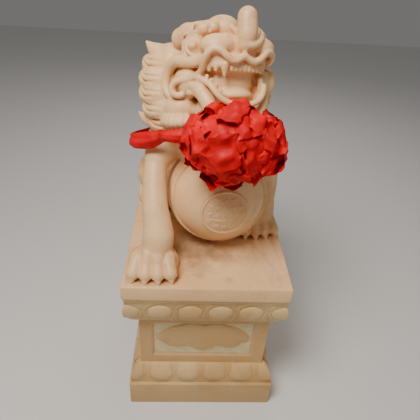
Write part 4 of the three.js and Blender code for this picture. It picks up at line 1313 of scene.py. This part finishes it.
# %% Rosette tree
def rosette_tree():
    tree, ids, given = new_group("rosette", "GeometryNodeTree", {
        "Knot": "Object", "Loops": "Collection", "Seed": "Int", "Crumple": "Float", "Crease": "Float",
        "Silk": "Material"}, {"Geometry": "Geometry"})
    knot = add_node(tree, "GeometryNodeObjectInfo", {"Object": given["Knot"]})
    models = add_node(tree, "GeometryNodeCollectionInfo", {
        "Collection": given["Loops"], "Separate Children": True, "Reset Children": True})
    outward = add_node(tree, "GeometryNodeInputNamedAttribute", {"Name": "outward"},
                       data_type="FLOAT_VECTOR")
    facing = add_node(tree, "FunctionNodeAlignRotationToVector", {"Vector": outward.outputs[0]}, axis="Z")
    spin, size = [add_node(tree, "FunctionNodeRandomValue", {2: low, 3: high, "Seed": given["Seed"]},
                           data_type="FLOAT").outputs[1] for low, high in ((-math.pi, math.pi), (0.8, 1.16))]
    turned = add_node(tree, "FunctionNodeRotateRotation", {
        "Rotation": facing.outputs[0], "Rotate By": vector(tree, Z=spin)}, rotation_space="LOCAL")
    copies = add_node(tree, "GeometryNodeInstanceOnPoints", {
        "Points": knot.outputs["Geometry"], "Instance": models.outputs[0], "Pick Instance": True,
        "Rotation": turned.outputs[0], "Scale": size})
    real = add_node(tree, "GeometryNodeRealizeInstances", {"Geometry": copies.outputs[0]})
    clouds = add_node(tree, "ShaderNodeTexNoise", {"Scale": 19.0, "Detail": 1.4, "Distortion": 0.5})
    centred = add_node(tree, "ShaderNodeVectorMath", {0: clouds.outputs["Color"], 1: (0.5, 0.5, 0.5)},
                       operation="SUBTRACT")
    cells = add_node(tree, "ShaderNodeTexVoronoi", {"Scale": 24.0})
    crease = calc(tree, "MULTIPLY", cells.outputs["Distance"], given["Crease"])
    normal = add_node(tree, "GeometryNodeInputNormal")
    for way, amount in ((centred.outputs[0], given["Crumple"]), (normal.outputs["Normal"], crease)):
        push = add_node(tree, "ShaderNodeVectorMath", {0: way, "Scale": amount}, operation="SCALE")
        real = add_node(tree, "GeometryNodeSetPosition", {
            "Geometry": real.outputs[0], "Offset": push.outputs[0]})
    finish_tree(tree, real, given["Silk"])
    return tree, ids


def knot_points():
    """Evenly spread points on the knot, with the way that each loop leaves it."""
    order = np.arange(LOOPS) + 0.5
    polar = np.arccos(1 - KNOT_COVERED * order / LOOPS)
    around = order * math.pi * (1 + 5**0.5)
    ways = np.stack([np.sin(polar) * np.cos(around), -np.cos(polar), np.sin(polar) * np.sin(around)], 1)
    knot_radii = np.maximum(ROSETTE_RADII - LOOP_HEIGHT * 0.98, KNOT_LEAST)
    return (ROSETTE_CENTRE + ways * knot_radii + [0, 0, SLAB_TOP]) * MM, ways


knot_places, knot_ways = knot_points()
knot = mesh_object("knot", knot_places, [])
outward = knot.data.attributes.new("outward", "FLOAT_VECTOR", "POINT")
outward.data.foreach_set("vector", knot_ways.astype(np.float32).ravel())
rosette_nodes, rosette_ids = rosette_tree()
rosette = made_by_tree("silk_rosette_loops", rosette_nodes, rosette_ids, {
    "Knot": knot, "Loops": loop_models, "Seed": 5, "Crumple": 0.022, "Crease": 0.016, "Silk": silk})
for model in list(loop_models.objects) + [knot]:
    bpy.data.objects.remove(model)
bpy.data.collections.remove(loop_models)


def silk_area(thing):
    return sum(p.area for p in thing.data.polygons)


print("rosette", len(rosette.data.polygons), "faces, area", round(silk_area(rosette), 3))

# %% [markdown]
# The sash is a second ribbon. It leaves the rosette, is pinched by a turn of thread, opens again
# and goes loosely round the neck. Its line is drawn through a few places and each of them is
# pushed out until it clears the stone, which the carving's own field can tell.

# %% Sash
SASH_WIDTH = 66
SASH_CLEARANCE = 7
SASH_PUSHES = 60
SASH_ROUTE = [(40, -262, 444), (-60, -240, 450), (-133, -202, 434), (-196, -172, 399),
              (-248, -142, 380), (-262, -98, 364), (-246, -48, 350), (-206, 24, 338),
              (-130, 96, 380), (0, 126, 420), (100, 104, 420), (168, 20, 410),
              (180, -90, 422), (150, -200, 444), (110, -262, 452)]
SASH_WIDTH_SHARES = [0.8, 0.8, 0.56, 0.96, 0.84, 0.7, 0.78, 0.85, 0.85, 0.85, 0.85, 0.85, 0.85, 0.8, 0.7]


def make_sash():
    spine, share = smooth_line(SASH_ROUTE, SASH_WIDTH_SHARES, 14)
    half = share * SASH_WIDTH / 2
    away = spine * [1, 1, 0] - [0, -40, 0]
    away /= np.linalg.norm(away, axis=1)[:, None]
    levels = np.array([-1, -0.5, 0, 0.5, 1])
    for _ in range(SASH_PUSHES):
        probe = spine[:, None, :] + half[:, None, None] * levels[None, :, None] * [0, 0, 1]
        clear = depth_at(probe.reshape(-1, 3)).reshape(len(spine), -1).min(1)
        spine += np.where(clear < SASH_CLEARANCE, 2.0, 0)[:, None] * away
    padded = np.pad(spine, ((2, 2), (0, 0)), mode="edge")
    spine = sum(k / 9 * padded[i:i + len(spine)] for i, k in enumerate((1, 2, 3, 2, 1)))
    along = np.gradient(spine, axis=0)
    along /= np.linalg.norm(along, axis=1)[:, None]
    across = np.cross(along, np.cross([0, 0, 1], along))
    out = np.cross(along, across)
    out *= np.sign((out * away).sum(1))[:, None]
    v, run = np.linspace(-1, 1, 17), np.arange(len(spine))[:, None]
    cup = 11 - 9 * v**2 + (2.2 * np.sin(4 * v + 0.05 * run) + 1.2 * np.sin(9 * v - 0.09 * run))
    level = (half[:, None] * v)[..., None]
    return spine[:, None, :] + across[:, None, :] * level + out[:, None, :] * cup[..., None]


sash = sheet_object("silk_sash_band", *np.moveaxis(make_sash() + [0, 0, SLAB_TOP], -1, 0))
print("sash area", round(silk_area(sash), 3))

# %% [markdown]
# ## Finish
# Each piece gets its material and rides on the one body of the frame, and the stone pieces are
# listed under the names of their slots. The figure, the pedestal, the rosette and the sash each
# take the place of the frame's plain solid.

# %% Finish
for piece, material in ((figure, figure_stone), (ball, ball_stone), (pedestal, pedestal_stone),
                        (petals, pedestal_stone), (panels, panel_stone), (sash, silk)):
    piece.data.materials.clear()
    piece.data.materials.append(material)
STONE_PIECES = {"figure_marble": [figure, ball], "pedestal_marble": [pedestal, petals, panels]}
for slot, pieces in STONE_PIECES.items():
    for piece in pieces:
        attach(piece, "root")
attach(rosette, "root")
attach(sash, "root")
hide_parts("pixiu_figure")
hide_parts("lotus_pedestal")
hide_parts("silk_rosette")
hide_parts("silk_sash")
